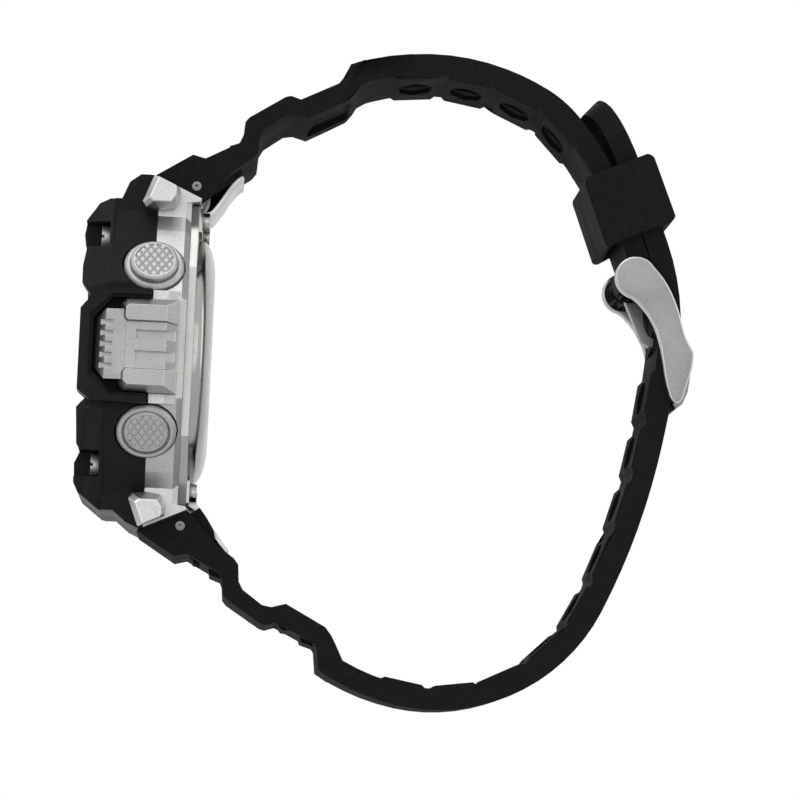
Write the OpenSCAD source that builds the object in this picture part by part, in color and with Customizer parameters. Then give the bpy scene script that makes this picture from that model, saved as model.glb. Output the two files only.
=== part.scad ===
// Digital sports watch, buckled into its loop.
// Origin: centre of the flat outer face of the caseback.
// +X points to the wrist, +Z to 12 o'clock and -Y to 3 o'clock, so the dial faces -X.

/* [Case] */
// Half width of the case across its side flats
case_half_w = 22.0; // [21:0.5:24]
// Distance from the centre to the facet that each pusher stands on
facet_d = 22.0; // [21.4:0.2:23]
// Direction of a pusher's axis, away from 3 or 9 o'clock
pusher_angle = 32; // [28:1:36]
// Half height of the silver band at its strap shoulders
shoulder_z = 22.4; // [21.5:0.1:23.5]
// Thickness of the silver band
band_t = 4.2; // [3.5:0.1:5]
// Depth of the case core in front of the silver band
core_t = 5.3; // [4.5:0.1:6]
// Radius of the hollow for the movement
cavity_r = 16.2; // [15.6:0.1:16.6]
// Half width of the lug between the strap's knuckles
lug_half_w = 7; // [5:0.5:8]
// Radius of the lug's eye
lug_r = 1.7; // [1.4:0.1:2]

/* [Caseback] */
// Height of the dome above the flange
dome_h = 2.3; // [1.8:0.1:3]
// Thickness of the flange
flange_t = 1.0; // [0.8:0.1:1.6]
// Radius of the dome at its foot
dome_r = 15.6; // [15:0.1:16]
// Radius of the flat outer face
dome_flat_r = 10.8; // [9:0.2:12]
// Half spacing of the caseback screws across the case
back_screw_y = 9.3; // [8.6:0.1:10]
// Half spacing of the caseback screws along the case
back_screw_z = 17.2; // [16.9:0.1:17.6]
// Radius of a caseback screw's head
back_head_r = 1.15; // [1:0.05:1.3]
// Height of a caseback screw's head
back_head_h = 0.9; // [0.7:0.05:1.1]

/* [Bezel] */
// Half height of the bezel at 12 and 6 o'clock
bezel_z = 22.5; // [22:0.1:23.5]
// Depth of the bezel's side wall
bezel_side_t = 5.4; // [5:0.1:6]
// Depth of the front ring on the side wall
bezel_front_t = 2.4; // [2:0.1:3]
// Height of the guard blocks above the front ring
block_h = 1.6; // [1:0.1:2.2]
// Radius of the window in the bezel
window_r = 15.2; // [14.8:0.1:15.6]
// Gap that the resin bezel keeps from the case
resin_gap = 0.1; // [0.05:0.05:0.3]
// Radius of a bezel screw's head
bezel_head_r = 1.3; // [1:0.1:1.5]
// Height of a bezel screw's head
bezel_head_h = 1.1; // [0.8:0.1:1.3]
// Bezel screw across the case
bezel_screw_y = 12.2; // [11.8:0.1:12.6]
// Bezel screw along the case
bezel_screw_z = 14.4; // [14:0.1:14.8]

/* [Side guards] */
// Half height of a side guard
guard_half_z = 5.8; // [5.4:0.1:6]
// How far a side guard stands out from the case
guard_out = 3.3; // [2.8:0.1:3.8]
// Number of grooves in the ribbed plate
groove_n = 5; // [3:1:6]
// Pitch of the grooves
groove_pitch = 1.35; // [1.1:0.01:1.4]
// Width of a groove
groove_w = 0.6; // [0.4:0.05:0.7]
// Depth of a groove
groove_d = 0.6; // [0.3:0.05:0.7]

/* [Pushers] */
// Radius of a pusher's cap
pusher_r = 3.75; // [3.4:0.05:3.8]
// Height of the cap
cap_h = 1.9; // [1.7:0.1:2.2]
// Distance that a pusher travels
pusher_travel = 0.8; // [0.5:0.1:0.9]
// Distance from the caseback's face to a pusher's axis
pusher_back = 7.6; // [7.5:0.05:7.9]
// Offset of a pusher's axis on its facet, towards 3 or 9 o'clock
pusher_slip = 1.7; // [1.5:0.1:2]
// Radius of the stem
stem_r = 0.9; // [0.7:0.05:1]
// Running clearance of the stem in its sleeve
stem_gap = 0.04; // [0.02:0.01:0.08]

/* [Display] */
// Height of the case's rim round the crystal
crystal_rim_h = 1.1; // [0.6:0.1:1.6]
// Thickness of the crystal
crystal_t = 1.8; // [1.4:0.1:2.2]
// Radius of the crystal
crystal_r = 14.6; // [14:0.1:14.8]
// Height of the large digits
digit_h = 7; // [5:0.5:8]
// Thickness of the liquid crystal panel
lcd_t = 1.4; // [1:0.1:1.8]
// Half width of the display
lcd_half_w = 10; // [9:0.25:10.5]
// Half height of the display
lcd_half_h = 8; // [7:0.25:8.5]
// Radius of the coin cell
cell_r = 8; // [6:0.5:9]
// Thickness of the coin cell
cell_t = 1.6; // [1.2:0.1:2]

/* [Strap] */
// Half width of the strap at the case
strap_half_case = 12.2; // [11.8:0.1:12.6]
// Half width of the strap at the buckle
strap_half_w = 10.5; // [9.5:0.25:10.75]
// Thickness of the band
band_thick = 2.7; // [2.4:0.1:2.9]
// Height of the pads on the band's inner side
pad_h = 0.5; // [0.2:0.05:0.7]
// Pitch of the slots along the band
slot_pitch = 7.4; // [7:0.1:8]
// Length of a slot
slot_l = 3.2; // [2.8:0.1:3.6]
// Width of a slot
slot_w = 3.2; // [2.9:0.1:3.8]
// Radius of a strap bar
bar_r = 0.6; // [0.5:0.05:0.75]
// Gap between a strap bar and its hole
bar_gap = 0.05; // [0.02:0.01:0.1]
// Gap between straps that lie on each other
strap_gap = 0.15; // [0.05:0.05:0.25]

/* [Buckle and keeper] */
// Length of the keeper along the strap
keeper_l = 9.2; // [8:0.2:10]
// Wall of the keeper
keeper_wall = 1.6; // [1.2:0.1:1.8]
// Clearance of the keeper round the two straps
keeper_gap = 0.2; // [0.15:0.05:0.3]
// Radius of the buckle's bar
buckle_bar_r = 0.9; // [0.7:0.05:1]
// Running clearance on the buckle's bar
buckle_gap = 0.06; // [0.03:0.01:0.1]
// Thickness of the buckle's side plates
buckle_plate_t = 1.5; // [1.2:0.1:2]
// Radius of the buckle's round heads
buckle_head_r = 2.65; // [2.4:0.05:2.8]
// Width of the tang
tang_w = 2.4; // [2:0.1:2.8]
// Thickness of the tang
tang_t = 1.1; // [0.9:0.1:1.2]

/* [Hidden] */
$fn = 48;
// Planes across the case, by distance along X
seat_x = -(dome_h + flange_t);
band_x = seat_x - band_t;
core_x = band_x - core_t;
wall_x = band_x - bezel_side_t;
front_x = wall_x - bezel_front_t;
block_x = front_x - block_h;
crystal_back_x = core_x + 0.2;
crystal_x = crystal_back_x - crystal_t;
lcd_x = core_x + 1.4;
lcd_back_x = lcd_x + lcd_t;
board_x = lcd_back_x + 3.6;
board_t = 0.6;
cell_x = board_x + board_t + 0.3;
clamp_x = cell_x + cell_t;
clamp_t = 0.3;
pusher_x = -pusher_back;
// The strap's shoulder plane, seen from the side
shoulder_rise = 2.8;
shoulder_a = [band_x - 0.8, shoulder_z];
shoulder_b = [seat_x + 1.2, shoulder_z - shoulder_rise];
shoulder_dir = atan2(shoulder_b[1] - shoulder_a[1], shoulder_b[0] - shoulder_a[0]);
bar_at = [seat_x + 0.45, shoulder_z - 0.9];
flange_z = shoulder_z - 3.5;
// Case: half width at the horns, wall round the hollow, rear bevel, steps beside the side guards
horn_half_w = 14.9;
core_wall = 2.2;
band_bevel = 0.7;
step_y = case_half_w + 0.8;
step_gap = 0.05;
rim_r = crystal_r + 0.35;
rim_wall = 1;
// Caseback: floor of its hollow, gasket and screws
back_floor = 1.3;
seal_r = 0.25;
seal_ring_r = cavity_r + 0.7;
screw_gap = 0.05;
back_screw_r = 0.7;
back_screw_l = 2.4;
// Stays behind the strap, screwed on with the caseback
stay_t = 0.4;
stay_half_w = 8;
foot_z = flange_z - 0.3;
foot_l = 2.85;
// Sides of the upper and the lower stay's leg, which runs up behind the strap
upper_leg = [[-1.3, foot_z + 0.1], [0.9, foot_z + 2.75], [2.4, foot_z + 4.75], [3, foot_z + 5],
    [3.2, foot_z + 4.6], [2.75, foot_z + 4.3], [1.3, foot_z + 2.3], [-0.9, foot_z - 0.5]];
lower_leg = [[-1.3, foot_z + 0.6], [2.2, foot_z + 4.9], [3.1, foot_z + 5.9], [3.4, foot_z + 5.6],
    [2.6, foot_z + 4.6], [1.4, foot_z + 3], [-0.9, foot_z - 0.1]];
// Bezel: blocks at 12 and 6 o'clock, notches for the screws
top_block_z = 19.15;
low_block_z = 20.1;
bezel_flat_y = case_half_w - 0.1;
bezel_screw_r = 0.7;
notch_x = front_x + 1.95;
notch_z = bezel_screw_z - 1.65;
notch_w = 3.3;
// Side guards and the bezel's frame round them
guard_x0 = band_x - 7.1;
guard_x1 = seat_x - 0.85;
guard_face_y = case_half_w + 2.4;
guard_frame_z = 7;
// Corner caps
cap_x0 = band_x - 2;
cap_x1 = seat_x - 1.5;
cap_z = shoulder_z - 4.7;
cap_out_y = 3.4;
// Pushers: how far the cap stands out, its recess, the disc inside its rim, sleeve, clip and spring
cap_out = 0.7;
recess_d = cap_h - cap_out + pusher_travel + 0.1;
recess_gap = 0.2;
cap_bevel = 0.35;
knurl_r = pusher_r - 0.8;
knurl_pitch = 0.8;
knurl_d = 0.18;
sleeve_r = 1.6;
sleeve_l = facet_d - recess_d - cavity_r + 0.5;
clip_t = 0.29;
groove_z = -recess_d - sleeve_l - clip_t - 0.08;
stem_end = groove_z - 0.5;
seat_gap = 0.02;
spring_room = 0.9;
coil_r = 2.0;
wire_r = 0.14;
coil_turns = 3;
coil_steps = 12;
// Module behind the display
lcd_edge = 1;
frame_r = 13.6;
contact_t = 1.4;
backlight_t = 0.4;
// Band lines: start point, start heading, then [length, turn] of each arc
upper_start = [15.9, 37.95];
upper_heading = 21.4;
upper_arc = [20.4, -39.9];
stack_foot = [54.44, 16.428];
stack_dir = -68.4;
straight_l = 3.75;
upper_bend = [15, -19.1];
upper_tail = [3.4, -8];
lower_start = [15.3, -38.8];
lower_heading = -32;
lower_arcs = [[11.2, 22], [30.4, 75], [20, 13.4]];
tail_arcs = [[10.25, 0], [6.5, 10], [4.1, 16]];
tip_l = 5;
// Straps: rails beside the sunk middle, slots and the room for the tang's eye
rail_half = 7.4;
pocket_half = 8;
side_room = 0.2;
slot_floor = 1.2;
upper_slot_s = 8.6;
lower_slots_above = 2;
through_slots = 6;
tang_eye_r = 1.9;
tang_side_gap = 0.25;
// Distance from the band's outer face to the bar in its end
head_back = 2.35;
// Keeper: its distance up the stack, and the room that it leaves on the wrist's side
keeper_at = 6.75;
keeper_room = 1;
keeper_in = band_thick + keeper_room + 1.1;
// Buckle: side plates, and the crossbar that rests over the lower strap
plate_y0 = strap_half_w + 0.35;
plate_y1 = plate_y0 + buckle_plate_t;
crossbar_gap = 0.25;
crossbar_t = 1.6;
crossbar_rest = 0.9;
crossbar_from = 2.4;
crossbar_to = 8.3;
tang_half = tang_w / 2;

// Extrudes a Y-Z outline along X
module along_x(x0, x1) {
    translate([x0, 0, 0]) rotate([90, 0, 90]) linear_extrude(x1 - x0) children();
}
// Extrudes an X-Z outline along Y
module along_y(y0, y1) {
    translate([0, y1, 0]) rotate([90, 0, 0]) linear_extrude(y1 - y0) children();
}
module along_z(z0, z1) {
    translate([0, 0, z0]) linear_extrude(z1 - z0) children();
}
module disc(x0, x1, r) {
    translate([x0, 0, 0]) rotate([0, 90, 0]) cylinder(r = r, h = x1 - x0);
}
module ring(x0, x1, r_out, r_in) {
    difference() {
        disc(x0, x1, r_out);
        disc(x0 - 1, x1 + 1, r_in);
    }
}
// The four-fold outline of one quarter's points
function four(q) = concat(
    q,
    [for (i = [len(q) - 1:-1:0]) [-q[i][0], q[i][1]]],
    [for (p = q) [-p[0], -p[1]]],
    [for (i = [len(q) - 1:-1:0]) [q[i][0], -q[i][1]]]);
// Where a pusher's facet meets a height or a half width
function facet_y(z, g = 0) = (facet_d - g - z * sin(pusher_angle)) / cos(pusher_angle);
function side_end_z(g = 0) = (facet_d - g - (case_half_w - g) * cos(pusher_angle)) / sin(pusher_angle);

// Points of a line of tangent arcs, each as [x, z, heading, distance]
function steps(l, a) = max(1, ceil(max(l / 3, abs(a) / 5)));
function chord(l, a, f) = abs(a) < 0.01 ? l * f : 2 * l / (a * PI / 180) * sin(a * f / 2);
function arc_points(p, h, l, a, s) = [for (k = [1:steps(l, a)]) let (f = k / steps(l, a))
    let (c = chord(l, a, f)) [p[0] + c * cos(h + a * f / 2), p[1] + c * sin(h + a * f / 2), h + a * f, s + l * f]];
function walk(p, h, arcs, i = 0, s = 0) = i >= len(arcs) ? [] :
    let (q = arc_points(p, h, arcs[i][0], arcs[i][1], s), e = q[len(q) - 1])
    concat(q, walk([e[0], e[1]], e[2], arcs, i + 1, e[3]));
function line(p, h, arcs) = concat([[p[0], p[1], h, 0]], walk(p, h, arcs));
function last(v) = v[len(v) - 1];
function dir(h) = [cos(h), sin(h)];
function left(h) = [-sin(h), cos(h)];
// The arc that leaves p along heading h and ends at q
function arc_to(p, h, q) = let (
        turn = 2 * (atan2(q[1] - p[1], q[0] - p[0]) - h),
        a = turn - 360 * round(turn / 360))
    [norm(q - p) * (abs(a) < 0.01 ? 1 : (a * PI / 360) / sin(a / 2)), a];
// Two tangent arcs that join two points with given headings
function two_arcs(p, hp, q, hq) = let (
        v = q - p, t = dir(hp) + dir(hq), k = 2 * (1 - dir(hp) * dir(hq)),
        d = (-(v * t) + sqrt(pow(v * t, 2) + k * (v * v))) / k,
        m = (p + d * dir(hp) + q - d * dir(hq)) / 2,
        first = arc_to(p, hp, m))
    [first, arc_to(m, hp + first[1], q)];
// The point of a line at distance s
function station(v, s) = let (
        i = max([for (k = [0:len(v) - 2]) if (v[k][3] <= s) k]),
        f = (s - v[i][3]) / (v[i + 1][3] - v[i][3]))
    v[i] * (1 - f) + v[i + 1] * f;
// Outline between a line and its copy moved inwards, side 1 where outwards is left
function band_outline(v, side, t) = concat(
    [for (p = v) [p[0], p[1]]],
    [for (i = [len(v) - 1:-1:0]) [v[i][0], v[i][1]] - side * t * left(v[i][2])]);
// Puts children on a line, X along it and Z inwards
module on_line(v, s, side) {
    p = station(v, s);
    translate([p[0], 0, p[1]]) rotate([0, -p[2], 0]) mirror([0, 0, side > 0 ? 1 : 0]) children();
}

upper_first = last(line(upper_start, upper_heading, [upper_arc]));
stack_top = stack_foot - straight_l * dir(stack_dir);
bend_start = stack_top - chord(upper_bend[0], upper_bend[1], 1) * dir(stack_dir - upper_bend[1] / 2);
bend_dir = stack_dir - upper_bend[1];
upper_rest = two_arcs([upper_first[0], upper_first[1]], upper_first[2], bend_start, bend_dir);
curve_len = upper_arc[0] + upper_rest[0][0] + upper_rest[1][0] + upper_bend[0];
upper_arcs = concat([upper_arc], upper_rest, [upper_bend, [straight_l, 0], upper_tail]);
upper_line = line(upper_start, upper_heading, upper_arcs);
upper_end = last(upper_line);
lay = strap_gap + band_thick;
pivot = [upper_end[0], upper_end[1]] - head_back * left(upper_end[2]);
tail_start = stack_foot + lay * left(stack_dir);
lower_first = line(lower_start, lower_heading, lower_arcs);
lower_join = last(lower_first);
joining = two_arcs([lower_join[0], lower_join[1]], lower_join[2], tail_start, stack_dir + 180);
lower_line = line(lower_start, lower_heading, concat(lower_arcs, joining, tail_arcs));
lower_len = last(lower_line)[3];
tail_s = lower_join[3] + joining[0][0] + joining[1][0];
stack_out = -lay - keeper_gap;
// Slots along the bands: the last upper one ends before the keeper's travel
upper_slots = floor((curve_len + straight_l - keeper_at - keeper_l / 2 - upper_slot_s - 4.6) / slot_pitch) + 1;
tang_slot_s = tail_s - 12.6;
lower_slots_below = floor((tang_slot_s - 8) / slot_pitch);

module case_outline(g = 0) {
    polygon(four([
        [case_half_w - g, side_end_z(g)],
        [facet_y(15.2, g), 15.2 - g / 4],
        [horn_half_w - g, 17.1 - g / 2],
        [horn_half_w - g, shoulder_z - g]]));
}
module shoulder_cut(grow = 0) {
    polygon([
        shoulder_a + [-12, 12 * tan(-shoulder_dir)] + [0, -grow],
        shoulder_b + [6, 6 * tan(shoulder_dir)] + [0, -grow],
        shoulder_b + [6, 20],
        shoulder_a + [-12, 20]]);
}
// Outline of the case under the bezel
module core_outline(grow = 0) {
    r = cavity_r + core_wall + grow;
    polygon(four([[r, 7.4], [r - 3.8, r - 4.2], [r - 8.5, r + 0.5]]));
}
module pusher_boss(grow = 0) {
    depth = facet_d - cavity_r - 1.3;
    translate([0, 0, -depth]) cylinder(r = pusher_r + 0.7 + grow, h = depth - recess_d);
}
// Puts children at 12 o'clock for side 1, at 6 o'clock for side -1
module at_bar(side) {
    mirror([0, 0, side < 0 ? 1 : 0]) children();
}
module bar_hole() {
    translate([bar_at[0], 0, bar_at[1]]) rotate([90, 0, 0]) cylinder(r = bar_r + bar_gap, h = 40, center = true);
}
module lug_outline(grow = 0) {
    translate(bar_at) rotate(shoulder_dir) {
        circle(lug_r + grow);
        translate([-lug_r - grow, -2]) square([2 * (lug_r + grow), 2]);
    }
}
// Puts children on a pusher's facet, Z outwards along its axis
module at_pusher(sy, sz) {
    y = sy * (facet_d * cos(pusher_angle) + pusher_slip * sin(pusher_angle));
    z = sz * (facet_d * sin(pusher_angle) - pusher_slip * cos(pusher_angle));
    turn = atan2(-sy * cos(pusher_angle), sz * sin(pusher_angle));
    translate([pusher_x, y, z]) rotate([turn, 0, 0]) children();
}
module each_pusher() {
    for (sy = [-1, 1]) for (sz = [-1, 1]) at_pusher(sy, sz) children();
}
// Puts children at the four points y, z, with Z along the case's X
module four_places(y, z) {
    for (sy = [-1, 1]) for (sz = [-1, 1]) translate([0, sy * y, sz * z]) rotate([0, 90, 0]) children();
}
module back_screw_places() {
    four_places(back_screw_y, back_screw_z) children();
}
module bezel_screw_places() {
    four_places(bezel_screw_y, bezel_screw_z) children();
}
// Mirrors children, drawn for 3 o'clock and 12 o'clock, to a quarter of the case
module quarter(sy, sz) {
    mirror([0, sy > 0 ? 1 : 0, 0]) mirror([0, 0, sz < 0 ? 1 : 0]) children();
}
module each_quarter() {
    for (sy = [-1, 1]) for (sz = [-1, 1]) quarter(sy, sz) children();
}

// Silver step between a side guard and the bezel's frame
module guard_step() {
    along_z(guard_half_z + step_gap, guard_frame_z + step_gap) polygon([
        [band_x, 1 - case_half_w], [band_x, -step_y], [guard_x1 - 1.4, -step_y],
        [guard_x1, 0.9 - step_y], [guard_x1, 1 - case_half_w]]);
}
module case_body() {
    color("silver") difference() {
        union() {
            along_x(band_x, seat_x - band_bevel) case_outline();
            translate([seat_x - band_bevel, 0, 0]) rotate([90, 0, 90])
                linear_extrude(band_bevel, scale = 1 - band_bevel / case_half_w) case_outline();
            each_quarter() guard_step();
            along_x(core_x, band_x) core_outline();
            disc(core_x - crystal_rim_h, core_x, rim_r + rim_wall);
            intersection() {
                each_pusher() pusher_boss();
                translate([seat_x - 40, 0, 0]) cube([80, 2 * case_half_w, 80], center = true);
            }
            for (s = [-1, 1]) at_bar(s) {
                along_y(-horn_half_w, horn_half_w) polygon([
                    [band_x, flange_z - 0.4], [seat_x, flange_z + 0.15], [seat_x + flange_t, flange_z + 0.3],
                    shoulder_b, shoulder_a + 0.8 * [1, tan(shoulder_dir)]]);
                along_y(-lug_half_w, lug_half_w) lug_outline();
            }
        }
        for (s = [-1, 1]) at_bar(s) {
            difference() {
                along_y(-30, 30) shoulder_cut();
                along_y(-lug_half_w, lug_half_w) lug_outline();
            }
            bar_hole();
        }
        disc(core_x + 1, seat_x + 1, cavity_r);
        ring(seat_x - 2 * seal_r, seat_x + 1, seal_ring_r + seal_r + 0.02, seal_ring_r - seal_r - 0.02);
        disc(core_x - 2, core_x + 2, crystal_r - 1.2);
        disc(core_x - 2, crystal_back_x, rim_r);
        each_pusher() {
            translate([0, 0, -recess_d]) cylinder(r = pusher_r + recess_gap, h = 10);
            translate([0, 0, -12]) cylinder(r = sleeve_r, h = 12);
        }
        translate([seat_x - back_screw_l, 0, 0]) back_screw_places() cylinder(r = back_screw_r, h = 6);
        translate([core_x - 2, 0, 0]) bezel_screw_places() cylinder(r = bezel_screw_r, h = 5);
    }
}

// Bezel's outline from the side, its 12 o'clock end at +Z
module bezel_side() {
    polygon([
        [band_x, bezel_z], [band_x - 2.2, bezel_z - 0.1], [wall_x + 1.7, bezel_z - 1.2],
        [wall_x + 0.8, top_block_z], [front_x + 1.8, top_block_z], [front_x + 0.4, top_block_z - 0.7],
        [block_x + 0.5, 16.2], [block_x + 0.25, 14.7], [block_x + 0.45, 13.3], [block_x + 0.7, 12.4],
        [block_x + 0.35, 10.2], [block_x + 0.4, 8.1], [front_x - 0.1, 6.5],
        [front_x - 0.1, -6.5], [block_x + 0.4, -7.6], [block_x + 0.6, -12], [block_x + 1, -12.6],
        [block_x + 0.3, -14.2], [block_x + 0.4, -16.8], [block_x + 1, -18], [front_x + 2.1, -low_block_z],
        [wall_x + 1.5, -low_block_z], [band_x - 2.2, 1 - bezel_z], [band_x, -bezel_z]]);
}
// Bezel's outline from the front, drawn in by g
module bezel_plan(g = 0) {
    polygon(four([
        [bezel_flat_y - g, 8 - g / 4],
        [facet_y(15.2) - g * 0.8, 15.2 - g * 0.6],
        [13.6 - g * 0.5, 19.6 - g * 0.5],
        [12 - g * 0.4, bezel_z + 0.2]]));
}
module bezel_blank() {
    intersection() {
        union() {
            along_x(wall_x, band_x) intersection() {
                square([2 * case_half_w, 60], center = true);
                union() {
                    case_outline(0.1);
                    bezel_plan();
                }
            }
            hull() {
                along_x(wall_x - 0.1, wall_x) bezel_plan(0.3);
                along_x(front_x, front_x + 0.1) bezel_plan(2.4);
            }
            hull() {
                along_x(front_x, front_x + 0.1) bezel_plan(2.4);
                along_x(block_x, block_x + 0.1) bezel_plan(4);
            }
        }
        along_y(-30, 30) bezel_side();
    }
}
module bezel() {
    color("dimgray") difference() {
        union() {
            bezel_blank();
            for (s = [0, 1]) mirror([0, s, 0]) translate([0, -guard_face_y, 0]) bezel_guard();
        }
        along_x(core_x - resin_gap, band_x + 1) core_outline(resin_gap);
        disc(core_x - crystal_rim_h - resin_gap, core_x + 1, rim_r + rim_wall + resin_gap);
        each_pusher() pusher_boss(resin_gap);
        disc(front_x - 4, core_x + 1, window_r);
        translate([block_x - 0.01, 0, 0]) rotate([0, 90, 0]) cylinder(r1 = window_r + 0.8, r2 = window_r, h = 1.6);
        each_pusher() translate([0, 0, -recess_d]) cylinder(r = pusher_r + recess_gap + 0.05, h = 8);
        for (s = [-1, 1]) {
            at_bar(s) along_y(-30, 30) shoulder_cut(resin_gap);
            rotate([s > 0 ? 180 : 0, 0, 0]) along_y(-40, 0.6 - case_half_w) guard_outline(resin_gap);
        }
        each_quarter() {
            translate([cap_x0 - resin_gap, -30, cap_z - resin_gap]) cube([5, 30 - horn_half_w, 10]);
            translate([block_x - 1, -40, notch_z])
                cube([notch_x - block_x + 1, 40 - bezel_screw_y + bezel_head_r + 0.3, notch_w]);
        }
        translate([block_x - 3, 0, 0]) bezel_screw_places() {
            cylinder(r = bezel_head_r + 0.3, h = 3 + notch_x - block_x);
            cylinder(r = bezel_screw_r + 0.1, h = 14);
        }
    }
}
// Resin frame round a side guard, drawn for 3 o'clock with its outer face at y = 0
module bezel_guard() {
    x0 = block_x + 0.5;
    z = guard_frame_z;
    difference() {
        intersection() {
            along_z(-z - 1, z + 1) polygon([
                [band_x - 0.2, 0], [x0 + 1, 0], [x0, 1], [x0, 7.2], [front_x + 0.2, 8.6], [band_x - 0.2, 8.6]]);
            along_y(-1, 12) polygon([
                [x0, z - 2.6], [x0 + 1.1, z - 1.4], [x0 + 1.9, z - 0.7], [x0 + 4.4, z], [band_x, z + 0.1],
                [band_x, -z - 0.1], [x0 + 4, -z - 0.1], [x0 + 1.6, -z], [x0, 1.3 - z]]);
        }
        along_y(-1, 0.7) guard_outline(0.5);
    }
}
// A side guard's outline from the side
module guard_outline(grow = 0) {
    z = guard_half_z + grow;
    polygon([
        [guard_x1 + grow, -z], [guard_x0 + 2.2, -z], [guard_x0 - grow, -z + 2.6], [guard_x0 - grow, z - 2.6],
        [guard_x0 + 2.2, z], [guard_x1 + grow, z]]);
}
// Ribbed plate between two raised bars, drawn for 3 o'clock
module side_guard() {
    bar_x0 = guard_x0 + 3.3;
    ridge_x = guard_x0 + 4;
    rear_x = guard_x1 - 1.5;
    plate_z = guard_half_z - 1.45;
    face_y = -case_half_w;
    difference() {
        union() {
            intersection() {
                along_z(-plate_z, plate_z) polygon([
                    [guard_x0, face_y - 0.65], [guard_x0 + 0.4, face_y - 1.3], [guard_x0 + 1.5, face_y - 2.3],
                    [ridge_x - 0.1, face_y - 2.6], [ridge_x, face_y - 2.4], [rear_x, face_y - 2.5],
                    [guard_x1, face_y - 1.6], [guard_x1, face_y], [band_x, face_y], [band_x, face_y - 0.65]]);
                along_y(face_y - 4, face_y + 1) polygon([
                    [guard_x0, -2.7], [guard_x0, 2.7], [guard_x0 + 1.4, plate_z], [guard_x1, plate_z],
                    [guard_x1, -plate_z], [guard_x0 + 1.4, -plate_z]]);
            }
            for (s = [0, 1]) mirror([0, 0, s]) hull() {
                along_y(face_y - 2, face_y - 0.7) polygon([
                    [bar_x0, 3.3], [bar_x0 + 0.5, 2.75], [guard_x1, 2.75], [guard_x1, guard_half_z],
                    [bar_x0 + 0.7, guard_half_z], [bar_x0, guard_half_z - 0.7]]);
                along_y(face_y - guard_out, face_y - guard_out + 1) polygon([
                    [bar_x0 + 0.6, 3.4], [bar_x0 + 0.9, 3.05], [rear_x, 3.05], [rear_x, guard_half_z - 0.85],
                    [bar_x0 + 1.1, guard_half_z - 0.85], [bar_x0 + 0.6, guard_half_z - 1.3]]);
            }
            for (s = [0, 1]) mirror([0, 0, s])
                translate([band_x, face_y - 2, guard_half_z - 3]) cube([guard_x1 - band_x, 2, 3]);
        }
        for (i = [0:groove_n - 1]) translate([guard_x0, 0, (i - (groove_n - 1) / 2) * groove_pitch])
            along_y(face_y - 4, face_y - 2.3 + groove_d) polygon([
                [0.5, -0.45], [1.0, -groove_w / 2], [2.35, -groove_w / 2], [2.35, groove_w / 2],
                [1.0, groove_w / 2], [0.5, 0.45]]);
        for (s = [-1, 1]) translate([bar_x0 + 1.9, face_y - 4, s * 1.3 - 0.6]) cube([12, 4 - 1.8, 1.2]);
    }
}
module guard_right() {
    color("silver") side_guard();
}
module guard_left() {
    color("silver") rotate([180, 0, 0]) side_guard();
}

// Outlines of a corner cap's foot and of its outer face
module cap_foot() {
    polygon([
        [cap_x0, cap_z + 0.9], [cap_x0 + 0.5, cap_z + 0.2], [cap_x0 + 2.3, cap_z], [cap_x1 - 0.6, cap_z + 0.3],
        [cap_x1, cap_z + 1.8], [cap_x1, cap_z + 6], [cap_x0 + 2, cap_z + 6]]);
}
module cap_face() {
    polygon([
        [cap_x0 + 0.9, cap_z + 1.5], [cap_x0 + 1.5, cap_z + 1], [cap_x1 - 1.1, cap_z + 1],
        [cap_x1 - 0.5, cap_z + 1.9], [cap_x1 - 0.5, cap_z + 6], [cap_x0 + 2.7, cap_z + 6]]);
}
// Corner cap, drawn on its seat with a bevelled face and cut beside the strap's shoulder
module corner_cap() {
    y = -horn_half_w - 0.02;
    difference() {
        hull() {
            along_y(y - cap_out_y + 1.3, y) cap_foot();
            along_y(y - cap_out_y, y) cap_face();
        }
        along_y(-40, 40) shoulder_cut(0.3);
    }
}
module corner_caps() {
    color("silver") each_quarter() corner_cap();
}

module crystal() {
    color("lightgray", 0.5) union() {
        disc(crystal_x + 0.4, crystal_back_x, crystal_r);
        translate([crystal_x, 0, 0]) rotate([0, 90, 0]) cylinder(r1 = crystal_r - 0.4, r2 = crystal_r, h = 0.4);
    }
}
module crystal_gasket() {
    color("white") ring(core_x - crystal_rim_h, crystal_back_x, rim_r, crystal_r);
}
module display_ring() {
    color("dimgray") difference() {
        union() {
            disc(core_x + 1, lcd_x, cavity_r - 0.3);
            disc(crystal_back_x, core_x + 1.1, crystal_r - 1.4);
        }
        along_x(core_x - 2, seat_x) lcd_outline(0.2);
        for (i = [0:11]) rotate([30 * i, 0, 0]) translate([core_x - 0.1, -0.4, 13.3]) cube([0.6, 0.8, 2]);
    }
}
module lcd_outline(edge) {
    square([2 * (lcd_half_w + edge), 2 * (lcd_half_h + edge)], center = true);
}
module lcd_panel() {
    color("darkseagreen") difference() {
        along_x(lcd_x, lcd_back_x) lcd_outline(lcd_edge);
        along_x(lcd_x - 1, lcd_x + 0.3) difference() {
            square([60, 60], center = true);
            lcd_outline(0);
        }
    }
}
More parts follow.
